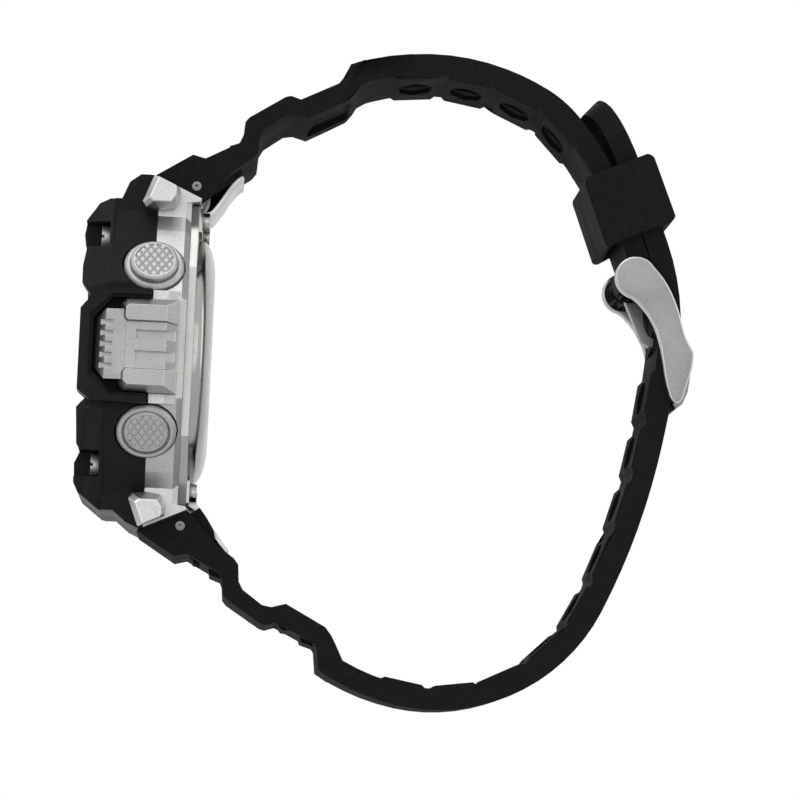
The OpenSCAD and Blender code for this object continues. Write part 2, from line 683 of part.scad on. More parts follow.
// A seven-bar digit, its bars given by letters a to g
bars = ["abcdef", "bc", "abged", "abgcd", "fgbc", "afgcd", "afgedc", "abc", "abcdefg", "abcdfg"];
function has(s, c) = len(search(c, s)) > 0;
module digit(n, h) {
    w = h * 0.5;
    t = h * 0.12;
    m = t * 0.62;
    module flat(x, z) { translate([x - w / 2 + m, z - t / 2]) square([w - 2 * m, t]); }
    module tall(x, z) { translate([x - t / 2, z + m / 2 - h / 4]) square([t, h / 2 - m]); }
    s = bars[n];
    if (has(s, "a")) flat(0, h / 2);
    if (has(s, "g")) flat(0, 0);
    if (has(s, "d")) flat(0, -h / 2);
    if (has(s, "b")) tall(w / 2, h / 4);
    if (has(s, "c")) tall(w / 2, -h / 4);
    if (has(s, "f")) tall(-w / 2, h / 4);
    if (has(s, "e")) tall(-w / 2, -h / 4);
}
// Seen from the dial's side, +Y is to the left
module lcd_segments() {
    color("black") along_x(lcd_x - 0.06, lcd_x) mirror([1, 0]) {
        for (i = [0:3]) translate([-6.6 + i * 4.2 + (i > 1 ? 1 : 0), -2.4])
            digit([1, 0, 5, 8][i], digit_h * 0.8);
        for (i = [0:1]) translate([-1.9 + i * 2.6 + 5, 4.6]) digit([3, 6][i], digit_h * 0.45);
        for (z = [-1, 1]) translate([0.1, -2.4 + z * 1.2]) square([0.7, 0.7], center = true);
    }
}
module backlight() {
    color("palegreen") along_x(lcd_back_x, lcd_back_x + backlight_t)
        square([2 * lcd_half_w, 2 * (lcd_half_h - contact_t / 2)], center = true);
}
module contact_places() {
    for (s = [-1, 1]) translate([0, s * (lcd_half_h + 0.3)]) children();
}
module contact_outline(gap) {
    square([2 * lcd_half_w - 2.4 + gap, contact_t + gap], center = true);
}
module module_frame() {
    color("gray") difference() {
        union() {
            disc(lcd_x, clamp_x, frame_r);
            disc(lcd_x, lcd_back_x, cavity_r - 0.6);
        }
        along_x(lcd_x - 1, lcd_back_x) lcd_outline(lcd_edge + 0.05);
        along_x(lcd_x - 1, lcd_back_x + backlight_t + 0.05) lcd_outline(0.1);
        along_x(lcd_x - 1, board_x) contact_places() contact_outline(0.3);
        disc(board_x, clamp_x + 1, frame_r - 1);
    }
}
module contact_strips() {
    color("pink") along_x(lcd_back_x, board_x) contact_places() contact_outline(0);
}
module circuit_board() {
    color("green") disc(board_x, board_x + board_t, frame_r - 1.1);
}
module module_chips() {
    edge = frame_r - 1.1;
    color("black") {
        translate([board_x + board_t, 1.6 - edge, -3]) cube([1.2, 1.9, 6]);
        translate([board_x + board_t, edge - 3.3, -2]) cube([1, 1.6, 4]);
        translate([board_x + board_t, -2.5, 1.6 - edge]) cube([0.9, 5, 1.8]);
    }
}
module coin_cell() {
    color("silver") union() {
        disc(cell_x - 0.28, cell_x + 0.4, cell_r - 0.8);
        disc(cell_x + 0.2, cell_x + cell_t, cell_r);
    }
}
module cell_clamp() {
    color("silver") difference() {
        disc(clamp_x, clamp_x + clamp_t, frame_r - 0.4);
        for (s = [-1, 1]) translate([clamp_x - 1, s * cell_r, 0]) rotate([0, 90, 0]) cylinder(r = 2.4, h = 3);
    }
}
module cushion() {
    color("dimgray") ring(clamp_x + clamp_t, -back_floor, frame_r - 0.4, frame_r - 3.6);
}
module buzzer() {
    color("gold") disc(-back_floor - 0.25, -back_floor, frame_r - 4.6);
}

function dome_arc(n) = [for (i = [0:n]) let (a = 90 * i / n)
    [dome_flat_r + (dome_r - dome_flat_r) * cos(a), -dome_h + 0.5 + (dome_h - 0.5) * sin(a)]];
module caseback() {
    color("silver") difference() {
        union() {
            along_x(seat_x, -dome_h) polygon(four([
                [cavity_r + 1.4, back_screw_y + 1.3], [back_screw_y + 2.6, flange_z]]));
            rotate([0, 90, 0]) rotate_extrude()
                polygon(concat([[0, -dome_h - 0.2], [dome_r, -dome_h - 0.2]], dome_arc(10), [[0, 0]]));
        }
        disc(seat_x - 1, -back_floor, dome_r - 1.9);
        back_screw_places() translate([0, 0, seat_x - 1]) cylinder(r = back_screw_r + 0.1, h = 4);
    }
}
module caseback_gasket() {
    color("black") rotate([0, 90, 0]) rotate_extrude()
        translate([seal_ring_r, seat_x - seal_r]) circle(r = seal_r, $fn = 16);
}
module caseback_screws() {
    head_z = -dome_h + stay_t;
    foot_end = seat_x - back_screw_l + 0.2;
    color("silver") back_screw_places() difference() {
        union() {
            translate([0, 0, head_z]) cylinder(r = back_head_r, h = back_head_h);
            translate([0, 0, foot_end]) cylinder(r = back_screw_r - screw_gap, h = head_z - foot_end);
        }
        translate([0, 0, head_z + back_head_h - 0.2]) for (a = [0, 90])
            rotate(a) cube([0.32, 1.5, 1], center = true);
    }
}
// Stay, drawn for 12 o'clock: a strip under the caseback's screws and a leg behind the strap
module stay(leg) {
    strip_half = back_screw_y + 1.9;
    top_x = -dome_h + stay_t;
    color("silver") difference() {
        union() {
            along_y(-strip_half, strip_half) polygon([
                [-dome_h, foot_z - foot_l], [-dome_h, foot_z], [top_x, foot_z], [top_x, foot_z - foot_l]]);
            along_y(-stay_half_w, stay_half_w)
                polygon(concat([[-dome_h, foot_z - 0.7], [-dome_h, foot_z]], leg, [[top_x, foot_z - 0.7]]));
        }
        back_screw_places() translate([0, 0, seat_x]) cylinder(r = back_screw_r + screw_gap, h = 6);
        back_screw_places() translate([0, 0, top_x]) cylinder(r = back_head_r + 0.1, h = 3);
    }
}
module strap_stay_upper() {
    stay(upper_leg);
}
module strap_stay_lower() {
    mirror([0, 0, 1]) stay(lower_leg);
}
module bezel_screws() {
    head_x = notch_x - bezel_head_h;
    color("silver") translate([head_x, 0, 0]) bezel_screw_places() difference() {
        union() {
            cylinder(r = bezel_head_r, h = bezel_head_h);
            cylinder(r = bezel_screw_r - screw_gap, h = core_x + 2.4 - head_x);
        }
        cube([0.4, 5, 0.7], center = true);
    }
}

// Pusher with its stem and clip groove; the two upper ones have a raised disc
module pusher(sy, sz) {
    disc_out = cap_out + (sz > 0 ? 0.9 : -0.05);
    color("silver") at_pusher(sy, sz) difference() {
        union() {
            translate([0, 0, cap_out - cap_h]) cylinder(r = pusher_r, h = cap_h - cap_bevel);
            translate([0, 0, cap_out - cap_bevel])
                cylinder(r1 = pusher_r, r2 = pusher_r - cap_bevel, h = cap_bevel);
            translate([0, 0, stem_end]) cylinder(r = stem_r, h = -stem_end + 0.5);
        }
        translate([0, 0, cap_out - 0.5]) cylinder(r = knurl_r + 0.12, h = 1);
        translate([0, 0, cap_out - cap_h - 1]) difference() {
            cylinder(r = 2.5, h = 1 + spring_room);
            cylinder(r = stem_r, h = 3);
        }
        translate([0, 0, groove_z]) difference() {
            cylinder(r = 3, h = clip_t + 0.06);
            translate([0, 0, -1]) cylinder(r = stem_r - 0.3, h = 3);
        }
    }
    color("silver") at_pusher(sy, sz) knurled_disc(disc_out, sz > 0 ? knurl_d : knurl_d / 2);
}
// Disc inside the cap's rim, cut by two sets of grooves into small diamonds
module knurled_disc(z, depth) {
    difference() {
        union() {
            translate([0, 0, cap_out - 0.55]) cylinder(r = knurl_r, h = z - cap_out + 0.25);
            translate([0, 0, z - 0.3]) cylinder(r1 = knurl_r, r2 = knurl_r - 0.3, h = 0.3);
        }
        intersection() {
            for (a = [-35, 35]) rotate(a) for (i = [-3:3]) translate([i * knurl_pitch, 0, z])
                rotate([0, 45, 0]) cube([depth * sqrt(2), 9, depth * sqrt(2)], center = true);
            translate([0, 0, z - 1]) cylinder(r = knurl_r - 0.5, h = 2);
        }
    }
}
module pusher_clip(sy, sz) {
    color("silver") at_pusher(sy, sz) translate([0, 0, groove_z + 0.03]) difference() {
        cylinder(r = 1.9, h = clip_t);
        translate([0, 0, -1]) cylinder(r = stem_r - 0.28, h = 3);
        translate([-stem_r + 0.3, 0, -1]) cube([2 * stem_r - 0.6, 3, 3]);
    }
}
module pusher_2() { pusher(-1, 1); }
module pusher_4() { pusher(-1, -1); }
module pusher_8() { pusher(1, -1); }
module pusher_10() { pusher(1, 1); }
module pusher_clip_2() { pusher_clip(-1, 1); }
module pusher_clip_4() { pusher_clip(-1, -1); }
module pusher_clip_8() { pusher_clip(1, -1); }
module pusher_clip_10() { pusher_clip(1, 1); }
module pusher_sleeves() {
    color("silver") each_pusher() translate([0, 0, -recess_d - sleeve_l]) difference() {
        cylinder(r = sleeve_r, h = sleeve_l);
        translate([0, 0, -1]) cylinder(r = stem_r + stem_gap, h = 8);
        translate([0, 0, sleeve_l - 0.7]) cylinder(r = stem_r + 0.5, h = 1);
    }
}
module pusher_seals() {
    color("black") each_pusher() translate([0, 0, -recess_d - 0.35]) rotate_extrude()
        translate([stem_r + 0.25, 0]) circle(r = 0.22, $fn = 16);
}
// Wire wound about Z, as one closed tube
module coil(z0, z1) {
    n = coil_turns * coil_steps;
    pts = [for (i = [0:n]) for (k = [0:5])
        let (a = 360 * i / coil_steps, b = 60 * k, r = coil_r + wire_r * cos(b))
        [r * cos(a), r * sin(a), z0 + (z1 - z0) * i / n + wire_r * sin(b)]];
    sides = [for (i = [0:n - 1]) for (k = [0:5]) let (a = 6 * i + k, b = 6 * i + (k + 1) % 6)
        each [[a, a + 6, b], [b, a + 6, b + 6]]];
    ends = [for (k = [1:4]) each [[0, k, k + 1], [6 * n, 6 * n + k + 1, 6 * n + k]]];
    polyhedron(pts, concat(sides, ends));
}
module pusher_spring(sy, sz) {
    ends = wire_r + seat_gap;
    color("gray") at_pusher(sy, sz) coil(-recess_d + ends, cap_out - cap_h + spring_room - ends);
}
module pusher_spring_2() { pusher_spring(-1, 1); }
module pusher_spring_4() { pusher_spring(-1, -1); }
module pusher_spring_8() { pusher_spring(1, -1); }
module pusher_spring_10() { pusher_spring(1, 1); }
// Side outline of a strap's shoulder, drawn for 12 o'clock and mirrored for 6 o'clock
function shoulder_rail(start, h) = let (n = left(h)) concat(
    [shoulder_a, [-3.5, 25.4], [-1.9, 25.0], [2.3, 27.2], [2.75, 28.2], [2.9, 29.9], [3.4, 30.5],
     [7.8, 33.3], [8.5, 33.5], [9.8, 33.1], [14.5, 35.4], [15.0, 36.1]],
    [start, start + dir(h) * 2, start + dir(h) * 2 - band_thick * n],
    [[17.3, 35.3], [16.8, 34.4], [16.0, 33.4], [10.9, 30.7], [9.1, 31.2], [7.9, 31.0], [5.4, 29.2],
     [4.85, 28.2], [4.7, 26.1], [4.1, 25.3], [2.4, 24.1], [0.2, 22.1], [-1.3, 20.2], shoulder_b]);
// Steps that the middle of the shoulder has over its outer side
step_a = [[-1.9, 24.9], [-1.0, 25.8], [0.1, 25.9], [0.9, 26.4], [1.1, 27.3], [2.75, 27.9],
    [2.9, 26.5], [0, 24]];
step_b = [[9.8, 33.0], [10.6, 33.9], [11.9, 34.0], [12.8, 34.6], [13.1, 35.3], [15.0, 35.9],
    [15, 34], [11, 32]];
// Room for the stays, and the lower shoulder's cheek over its stay
stay_room_upper = [[-3, 18], [-3, 20.6], [1.7, 24.3], [3.4, 24.4], [3.6, 23], [1, 18]];
stay_room_lower = [[-3, 18], [-3, 20.6], [-1.7, 20.8], [0.6, 23.3], [2.1, 25.4], [3.6, 25.6],
    [3.8, 23], [1, 18]];
lower_cheek = [[-1.8, 20], [-0.5, 19.1], [0.5, 20.4], [1.4, 21.9], [1.7, 23.2], [0.5, 22.8],
    [-1, 21.5]];
module strap_shoulder(start, h, stay_room, cheek) {
    difference() {
        union() {
            if (len(cheek) > 0) along_y(-strap_half_case + 0.8, strap_half_case - 0.8) polygon(cheek);
            along_y(-strap_half_case, strap_half_case) polygon(shoulder_rail(start, h));
            along_y(-rail_half, rail_half) {
                polygon(step_a);
                polygon(step_b);
            }
        }
        along_y(-pocket_half, pocket_half) polygon([
            [10.6, 28.8], [11.1, 31.4], [11.8, 32.1], [15.7, 34.0], [17.0, 33.2], [17.3, 30]]);
        along_y(-lug_half_w - side_room, lug_half_w + side_room) {
            lug_outline(side_room);
            translate(bar_at) rotate(shoulder_dir) translate([0, -8]) square([9, 8.2]);
        }
        along_y(-stay_half_w - 0.3, stay_half_w + 0.3) polygon(stay_room);
        bar_hole();
    }
}
// Plan that narrows the strap from the case to the buckle
module strap_plan() {
    translate([0, 0, -60]) linear_extrude(120) polygon([
        [-20, -strap_half_case], [14, -strap_half_case], [24, -strap_half_w], [80, -strap_half_w],
        [80, strap_half_w], [24, strap_half_w], [14, strap_half_case], [-20, strap_half_case]]);
}
// Raised pad round a slot, X along the band and Z inwards
module pad() {
    along_y(-strap_half_w, strap_half_w) polygon([
        [-3.1, band_thick - 0.5], [-3.1, band_thick + 0.02], [-2.4, band_thick + pad_h],
        [2.4, band_thick + pad_h], [3.1, band_thick + 0.02], [3.1, band_thick - 0.5]]);
}
module slot_relief(depth) {
    translate([0, 0, band_thick + pad_h - depth]) linear_extrude(3) polygon([
        [-slot_l / 2 - 0.5, 0], [-slot_l / 2 - 0.2, 3.4], [0, 5.6], [slot_l / 2 + 0.2, 3.4],
        [slot_l / 2 + 0.5, 0], [slot_l / 2 + 0.2, -3.4], [0, -5.6], [-slot_l / 2 - 0.2, -3.4]]);
}
module at_upper_slot(i) {
    on_line(upper_line, upper_slot_s + i * slot_pitch, 1) children();
}
module strap_upper() {
    color("dimgray") difference() {
        intersection() {
            union() {
                strap_shoulder(upper_start, upper_heading, stay_room_upper, []);
                along_y(-20, 20) polygon(band_outline(upper_line, 1, band_thick));
                for (i = [0:upper_slots - 1]) at_upper_slot(i) pad();
                pivot_rod(head_back, 20);
            }
            strap_plan();
        }
        for (i = [0:upper_slots - 1]) at_upper_slot(i) {
            slot_relief(0.5);
            translate([-slot_l / 2, -slot_w / 2, slot_floor]) cube([slot_l, slot_w, 4]);
        }
        pivot_rod(buckle_bar_r + buckle_gap, 20);
        tang_room();
    }
}
// Room in the upper strap's end for the tang's eye
module tang_room() {
    w = tang_w / 2 + tang_side_gap;
    along_y(-w, w) translate(pivot) {
        circle(tang_eye_r + 0.3);
        rotate(stack_dir) translate([0, -6]) square([8, 12]);
    }
}
// Counted from the tang's slot towards the case
module at_lower_slot(i) {
    on_line(lower_line, tang_slot_s - i * slot_pitch, -1) children();
}
module strap_lower() {
    color("dimgray") difference() {
        intersection() {
            union() {
                mirror([0, 0, 1])
                    strap_shoulder([lower_start[0], -lower_start[1]], -lower_heading, stay_room_lower, lower_cheek);
                along_y(-20, 20) polygon(band_outline(lower_line, -1, band_thick));
                for (i = [1:lower_slots_below]) at_lower_slot(i) pad();
            }
            strap_plan();
        }
        for (i = [-lower_slots_above:lower_slots_below]) at_lower_slot(i) {
            if (i > 0) slot_relief(0.5);
            translate([-slot_l / 2, -slot_w / 2, i > through_slots ? slot_floor : -1]) cube([slot_l, slot_w, 6]);
        }
        on_line(lower_line, lower_len, -1) tip_round();
    }
}
// Cuts the free end to a squarish round, X along the band
function tip_x(f) = -tip_l + tip_l * pow(1 - pow(f, 2.8), 1 / 2.8);
module tip_round() {
    n = 12;
    translate([0, 0, -2]) linear_extrude(band_thick + 4) difference() {
        translate([-tip_l, -strap_half_w - 1]) square([tip_l + 2, 2 * strap_half_w + 2]);
        polygon(concat([[-tip_l - 1, strap_half_w]],
            [for (i = [0:2 * n]) let (f = 1 - i / n) [tip_x(abs(f)), f * strap_half_w]],
            [[-tip_l - 1, -strap_half_w]]));
    }
}
// Rod with drilled ends
module strap_bar(side) {
    half = strap_half_case - 0.3;
    color("silver") at_bar(side) translate([bar_at[0], 0, bar_at[1]]) rotate([90, 0, 0]) difference() {
        cylinder(r = bar_r, h = 2 * half, center = true);
        for (s = [-1, 1]) translate([0, 0, s * half]) cylinder(r = bar_r * 0.45, h = 1.6, center = true);
    }
}
module strap_bar_upper() { strap_bar(1); }
module strap_bar_lower() { strap_bar(-1); }

// Keeper round both straps, X along the stack and Z inwards
module keeper() {
    half = strap_half_w + keeper_gap;
    opening = band_thick + keeper_room - stack_out;
    k = keeper_l / 2;
    color("dimgray") translate([stack_foot[0], 0, stack_foot[1]]) rotate([0, -stack_dir, 0])
        mirror([0, 0, 1]) translate([-keeper_at, 0, 0]) difference() {
            along_y(-half - keeper_wall, half + keeper_wall) polygon([
                [-k + 1, keeper_in], [-k + 0.5, keeper_in - 0.3], [-k + 0.3, keeper_in - 1],
                [-k, stack_out - keeper_wall + 0.6], [-k + 0.6, stack_out - keeper_wall],
                [k - 0.5, stack_out - keeper_wall - 0.1], [k, stack_out - keeper_wall + 0.5],
                [k + 0.2, band_thick - 0.2], [k + 0.5, keeper_in - 0.4], [k + 0.2, keeper_in + 0.1]]);
            translate([-keeper_l, -half, stack_out]) cube([2 * keeper_l, 2 * half, opening]);
        }
}
// Buckle, drawn from the bar: X along the stack towards the crossbar, Z outwards
// A point outside the lower strap, below the tang's slot by s and off its face by g
function off_strap(s, g) = let (p = station(lower_line, tang_slot_s - s)) [p[0], p[1]] - g * left(p[2]);
module from_pivot() {
    translate(pivot) rotate(stack_dir) children();
}
module pivot_rod(r, half) {
    translate([pivot[0], half, pivot[1]]) rotate([90, 0, 0]) cylinder(r = r, h = 2 * half);
}
module buckle_plate_outline() {
    from_pivot() {
        circle(buckle_head_r);
        polygon([[-0.8, -2.5], [-0.8, 2.5], [1.9, 3.4], [5.5, 3.7], [8.3, 3.5], [9.5, 3.5], [11.4, 3.8], [12.9, 3.1],
            [15.4, 1.3], [16.6, 0.3], [16.8, -0.4], [16.2, -0.8], [14.9, -0.9], [13.0, -0.7], [11.0, -0.3],
            [8.4, 0.1], [5.9, 0.0], [3.8, -0.6], [2.3, -1.4]]);
    }
}
module crossbar_outline() {
    polygon(concat(
        [for (s = [crossbar_from, 4.4, 6.4, crossbar_to]) off_strap(s, crossbar_gap)],
        [off_strap(crossbar_to + 0.5, crossbar_gap + 0.5),
         off_strap(crossbar_to - 0.3, crossbar_gap + crossbar_t - 0.4)],
        [for (s = [6.4, 4.4, crossbar_from + 0.6]) off_strap(s, crossbar_gap + crossbar_t)],
        [off_strap(crossbar_from, crossbar_gap + crossbar_t - 0.5)]));
}
module buckle_frame() {
    color("silver") difference() {
        union() {
            for (s = [0, 1]) mirror([0, s, 0]) along_y(plate_y0, plate_y1) buckle_plate_outline();
            along_y(-plate_y1 + 0.2, plate_y1 - 0.2) crossbar_outline();
        }
        pivot_rod(buckle_bar_r, plate_y1 - 0.5);
        along_y(-tang_half - 0.3, tang_half + 0.3) polygon([
            off_strap(crossbar_from - 1, crossbar_rest), off_strap(5.6, crossbar_rest), off_strap(6.6, 3),
            off_strap(crossbar_from - 1, 4)]);
    }
}
module buckle_bar() {
    color("silver") pivot_rod(buckle_bar_r, plate_y1 - 0.55);
}
// Points of the tang's arm, along the stack from the bar and outwards
function arm(q) = [for (p = q) pivot + p[0] * dir(stack_dir) + p[1] * left(stack_dir)];
module buckle_tang() {
    rest = crossbar_rest + 0.05;
    color("silver") difference() {
        union() {
            pivot_rod(tang_eye_r, tang_half);
            along_y(-tang_half, tang_half) polygon(concat(
                arm([[0, 0], [1.3, 1.3], [5.4, tang_t - 1], [6.9, tang_t - 0.9], [7.6, tang_t - 0.3],
                    [8.7, tang_t + 1.5], [9.7, tang_t + 2.8]]),
                [off_strap(1.6, rest + tang_t + 0.15), off_strap(2.8, rest + tang_t + 0.05),
                 off_strap(5.0, rest + tang_t - 0.45), off_strap(5.2, rest + 0.15),
                 off_strap(4.8, rest), off_strap(1.8, rest)],
                arm([[9.8, 2.4], [8.8, 0.8], [8.3, -0.3], [7.4, -1.0], [5.5, -1.1], [1.3, -1.3]])));
        }
        pivot_rod(buckle_bar_r + buckle_gap, 20);
    }
}

case_body();
bezel();
guard_right();
guard_left();
corner_caps();
crystal();
crystal_gasket();
display_ring();
lcd_panel();
lcd_segments();
backlight();
module_frame();
contact_strips();
circuit_board();
module_chips();
coin_cell();
cell_clamp();
cushion();
buzzer();
caseback();
caseback_gasket();
caseback_screws();
strap_stay_upper();
strap_stay_lower();
bezel_screws();
pusher_2();
pusher_4();
pusher_8();
pusher_10();
pusher_clip_2();
pusher_clip_4();
pusher_clip_8();
pusher_clip_10();
pusher_spring_2();
pusher_spring_4();
pusher_spring_8();
pusher_spring_10();
pusher_sleeves();
pusher_seals();
strap_upper();
strap_lower();
strap_bar_upper();
strap_bar_lower();
keeper();
buckle_frame();
buckle_bar();
buckle_tang();
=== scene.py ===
"""Digital watch with resin bezel and strap, metal guards and round pushers.

Laid out as an add-on: sizes and colours are in the property groups, each piece or group of like pieces
has an operator, and main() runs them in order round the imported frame.
"""
import math

import bpy
from mathutils import Matrix, Vector


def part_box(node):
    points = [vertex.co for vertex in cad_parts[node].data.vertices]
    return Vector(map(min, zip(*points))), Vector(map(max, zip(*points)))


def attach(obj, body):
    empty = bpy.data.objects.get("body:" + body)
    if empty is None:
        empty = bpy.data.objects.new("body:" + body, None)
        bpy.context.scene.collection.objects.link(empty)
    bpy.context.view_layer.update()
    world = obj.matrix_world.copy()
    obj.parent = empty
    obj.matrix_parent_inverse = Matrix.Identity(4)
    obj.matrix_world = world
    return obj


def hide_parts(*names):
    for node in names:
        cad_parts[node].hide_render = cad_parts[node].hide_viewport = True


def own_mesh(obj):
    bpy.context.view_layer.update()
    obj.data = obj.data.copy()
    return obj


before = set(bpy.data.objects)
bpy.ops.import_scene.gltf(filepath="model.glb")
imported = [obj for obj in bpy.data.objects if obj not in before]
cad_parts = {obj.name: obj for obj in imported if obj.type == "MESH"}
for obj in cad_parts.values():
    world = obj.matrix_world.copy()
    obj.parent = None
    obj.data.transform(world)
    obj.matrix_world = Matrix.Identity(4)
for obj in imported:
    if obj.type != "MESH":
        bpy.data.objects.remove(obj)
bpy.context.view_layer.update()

bl_info = {
    "name": "Digital watch",
    "version": (1, 0, 0),
    "blender": (4, 5, 0),
    "location": "View3D > Sidebar > Watch",
    "description": "Dresses the packed watch: rounded edges, bent stay, curved buckle, coils and finishes",
    "category": "Object",
}

MM = 0.001
MERGE_MM = 0.002  # corners of CAD meshes that lie closer than this are one corner
FLAT_ANGLE = math.radians(1)  # neighbouring faces that turn by less than this lie in one plane
SMOOTH_ANGLE = math.radians(32)  # edges that turn by less than this are shaded as curved
EDGE_ANGLE = math.radians(28)  # edges of CAD nodes that turn by more than this are rounded
# Each pusher's side, 1 towards 9 o'clock, and its end, 1 towards 12 o'clock; its angle from 3 or 9 o'clock
PUSHERS = {"2": (-1, 1), "4": (-1, -1), "8": (1, -1), "10": (1, 1)}
PUSHER_ANGLE = math.radians(32)
RESIN_NODES = ("bezel", "strap_upper", "strap_lower", "keeper")


def linear(hex_colour):
    """sRGB hex colour as linear red, green, blue and alpha."""
    parts = [int(hex_colour[i:i + 2], 16) / 255 for i in (1, 3, 5)]
    return tuple(c / 12.92 if c <= 0.04045 else ((c + 0.055) / 1.055) ** 2.4 for c in parts) + (1.0,)


# Property groups

class WatchSizes(bpy.types.PropertyGroup):
    """Sizes that finish the pieces, in metres"""
    resin_edge: bpy.props.FloatProperty(
        name="Resin edge", description="Radius of the moulded resin's edges",
        default=0.3 * MM, unit="LENGTH")
    guard_edge: bpy.props.FloatProperty(
        name="Guard edge", description="Radius of the guards' and caps' cast edges",
        default=0.16 * MM, unit="LENGTH")
    buckle_edge: bpy.props.FloatProperty(
        name="Buckle edge", description="Width of the buckle's polished edge",
        default=0.2 * MM, unit="LENGTH")
    metal_edge: bpy.props.FloatProperty(
        name="Metal edge", description="Radius of the metal parts' edges",
        default=0.12 * MM, unit="LENGTH")
    fine_edge: bpy.props.FloatProperty(
        name="Fine edge", description="Radius of small pieces' edges",
        default=0.05 * MM, unit="LENGTH")
    bar_ring: bpy.props.FloatProperty(
        name="Bar ring", description="Width of the ring at the strap bars' tube ends",
        default=0.17 * MM, unit="LENGTH")
    spring_wire: bpy.props.FloatProperty(
        name="Spring wire", description="Radius of the pusher springs' wire",
        default=0.14 * MM, unit="LENGTH")
    pusher_travel: bpy.props.FloatProperty(
        name="Pusher travel", description="How far a pusher goes in",
        default=0.8 * MM, unit="LENGTH")
    floor_drop: bpy.props.FloatProperty(
        name="Floor drop", description="Floor's distance below the watch's origin",
        default=0.08, unit="LENGTH")


class WatchColours(bpy.types.PropertyGroup):
    """Colours of the finishes, as sRGB hex"""
    resin: bpy.props.StringProperty(
        name="Resin", description="Moulded black resin", default="#1B1B1C")
    case_metal: bpy.props.StringProperty(
        name="Case metal", description="Blasted case middle and corner caps", default="#BABAB9")
    guard_metal: bpy.props.StringProperty(
        name="Guard metal", description="Blasted side guards", default="#9C9C9B")
    # Edges of the guards and caps: polished, and coloured lighter than the guard metal as a painted highlight
    rubbed_edge_and_highlight: bpy.props.StringProperty(
        name="Rubbed edge", description="Bright edges of the guards and caps", default="#CFCFCE")
    pusher_metal: bpy.props.StringProperty(
        name="Pusher metal", description="Pushers", default="#B6B6B5")
    buckle_steel: bpy.props.StringProperty(
        name="Buckle steel", description="Blasted buckle and tang", default="#8F8E8D")
    # Polished rim of the buckle's plates, coloured lighter than the buckle steel as a painted highlight
    buckle_rim_and_highlight: bpy.props.StringProperty(
        name="Buckle rim", description="Polished rim of the buckle's plates", default="#C9C8C7")
    stay_steel: bpy.props.StringProperty(
        name="Stay steel", description="Strap stays", default="#BCBBB9")
    bar_steel: bpy.props.StringProperty(
        name="Bar steel", description="Strap bars", default="#7C7B79")
    # Painted light: the bezel screws are coloured far lighter than the other steel, to lift the shade of the
    # deep notches they sit in
    bezel_screw_painted_light: bpy.props.StringProperty(
        name="Bezel screws", description="Screws in the bezel's notches", default="#EAE9E7")
    steel: bpy.props.StringProperty(
        name="Steel", description="Caseback, its screws, clips and springs", default="#A6A5A3")
    brass: bpy.props.StringProperty(
        name="Brass", description="Pusher sleeves and sounder plate", default="#C9A75A")
    display_ring: bpy.props.StringProperty(
        name="Display ring", description="Surround of the display", default="#17181A")
    display_panel: bpy.props.StringProperty(
        name="Display panel", description="Liquid crystal panel", default="#A9B09B")
    display_digits: bpy.props.StringProperty(
        name="Display digits", description="Digits and other marks on the display", default="#1E211D")
    floor: bpy.props.StringProperty(
        name="Floor", description="Pale floor under the watch", default="#F4F4F4")


# Nodes and materials

def new_material(name):
    """An empty node material with its output and principled shader."""
    material = bpy.data.materials.new(name)
    material.use_nodes = True
    tree = material.node_tree
    tree.nodes.clear()
    output = tree.nodes.new("ShaderNodeOutputMaterial")
    shader = tree.nodes.new("ShaderNodeBsdfPrincipled")
    tree.links.new(shader.outputs["BSDF"], output.inputs["Surface"])
    return material, tree, shader


def add_node(tree, kind, links=None, **settings):
    """Adds a node, sets its properties and input values, and links its inputs from other nodes' sockets."""
    node = tree.nodes.new(kind)
    for key, value in settings.items():
        if hasattr(node, key):
            setattr(node, key, value)
        else:
            node.inputs[key.replace("_", " ")].default_value = value
    for key, socket in (links or {}).items():
        tree.links.new(socket, node.inputs[key])
    return node


def set_shader(shader, colour, metallic, roughness, ior=1.5):
    """Sets the values that every finish has."""
    shader.inputs["Base Color"].default_value = linear(colour)
    shader.inputs["Metallic"].default_value = metallic
    shader.inputs["Roughness"].default_value = roughness
    shader.inputs["IOR"].default_value = ior


def per_metre(size_mm):
    """Texture scale whose features repeat about every size_mm."""
    return 1000.0 / size_mm


def grain_bump(tree, shader, size_mm, depth_mm):
    """Fine random relief over a surface; gives back the node with the surface's coordinates."""
    place = add_node(tree, "ShaderNodeTexCoord")
    noise = add_node(tree, "ShaderNodeTexNoise", {"Vector": place.outputs["Object"]},
                     Scale=per_metre(size_mm), Detail=2.0, Roughness=0.6)
    bump = add_node(tree, "ShaderNodeBump", {"Height": noise.outputs["Fac"]},
                    Strength=1.0, Distance=depth_mm * MM)
    tree.links.new(bump.outputs["Normal"], shader.inputs["Normal"])
    return place


def vary_roughness(tree, shader, place, size_mm, low, high):
    """Slow change of roughness over a surface, as handling and moulding leave it."""
    noise = add_node(tree, "ShaderNodeTexNoise", {"Vector": place.outputs["Object"]},
                     Scale=per_metre(size_mm), Detail=3.0)
    span = add_node(tree, "ShaderNodeMapRange", {"Value": noise.outputs["Fac"]},
                    From_Min=0.3, From_Max=0.7, To_Min=low, To_Max=high)
    tree.links.new(span.outputs["Result"], shader.inputs["Roughness"])


def speckle(tree, shader, place, size_mm, colour, spread):
    """Fine mottling of the base colour, lighter and darker than it by a share of it."""
    noise = add_node(tree, "ShaderNodeTexNoise", {"Vector": place.outputs["Object"]},
                     Scale=per_metre(size_mm), Detail=1.0, Roughness=0.5)
    ramp = add_node(tree, "ShaderNodeValToRGB", {"Fac": noise.outputs["Fac"]})
    middle = linear(colour)
    stops = ramp.color_ramp.elements
    for stop, position, share in ((stops[0], 0.34, 1 - spread), (stops[1], 0.68, 1 + spread)):
        stop.position = position
        stop.color = tuple(min(c * share, 1.0) for c in middle[:3]) + (1.0,)
    tree.links.new(ramp.outputs["Color"], shader.inputs["Base Color"])


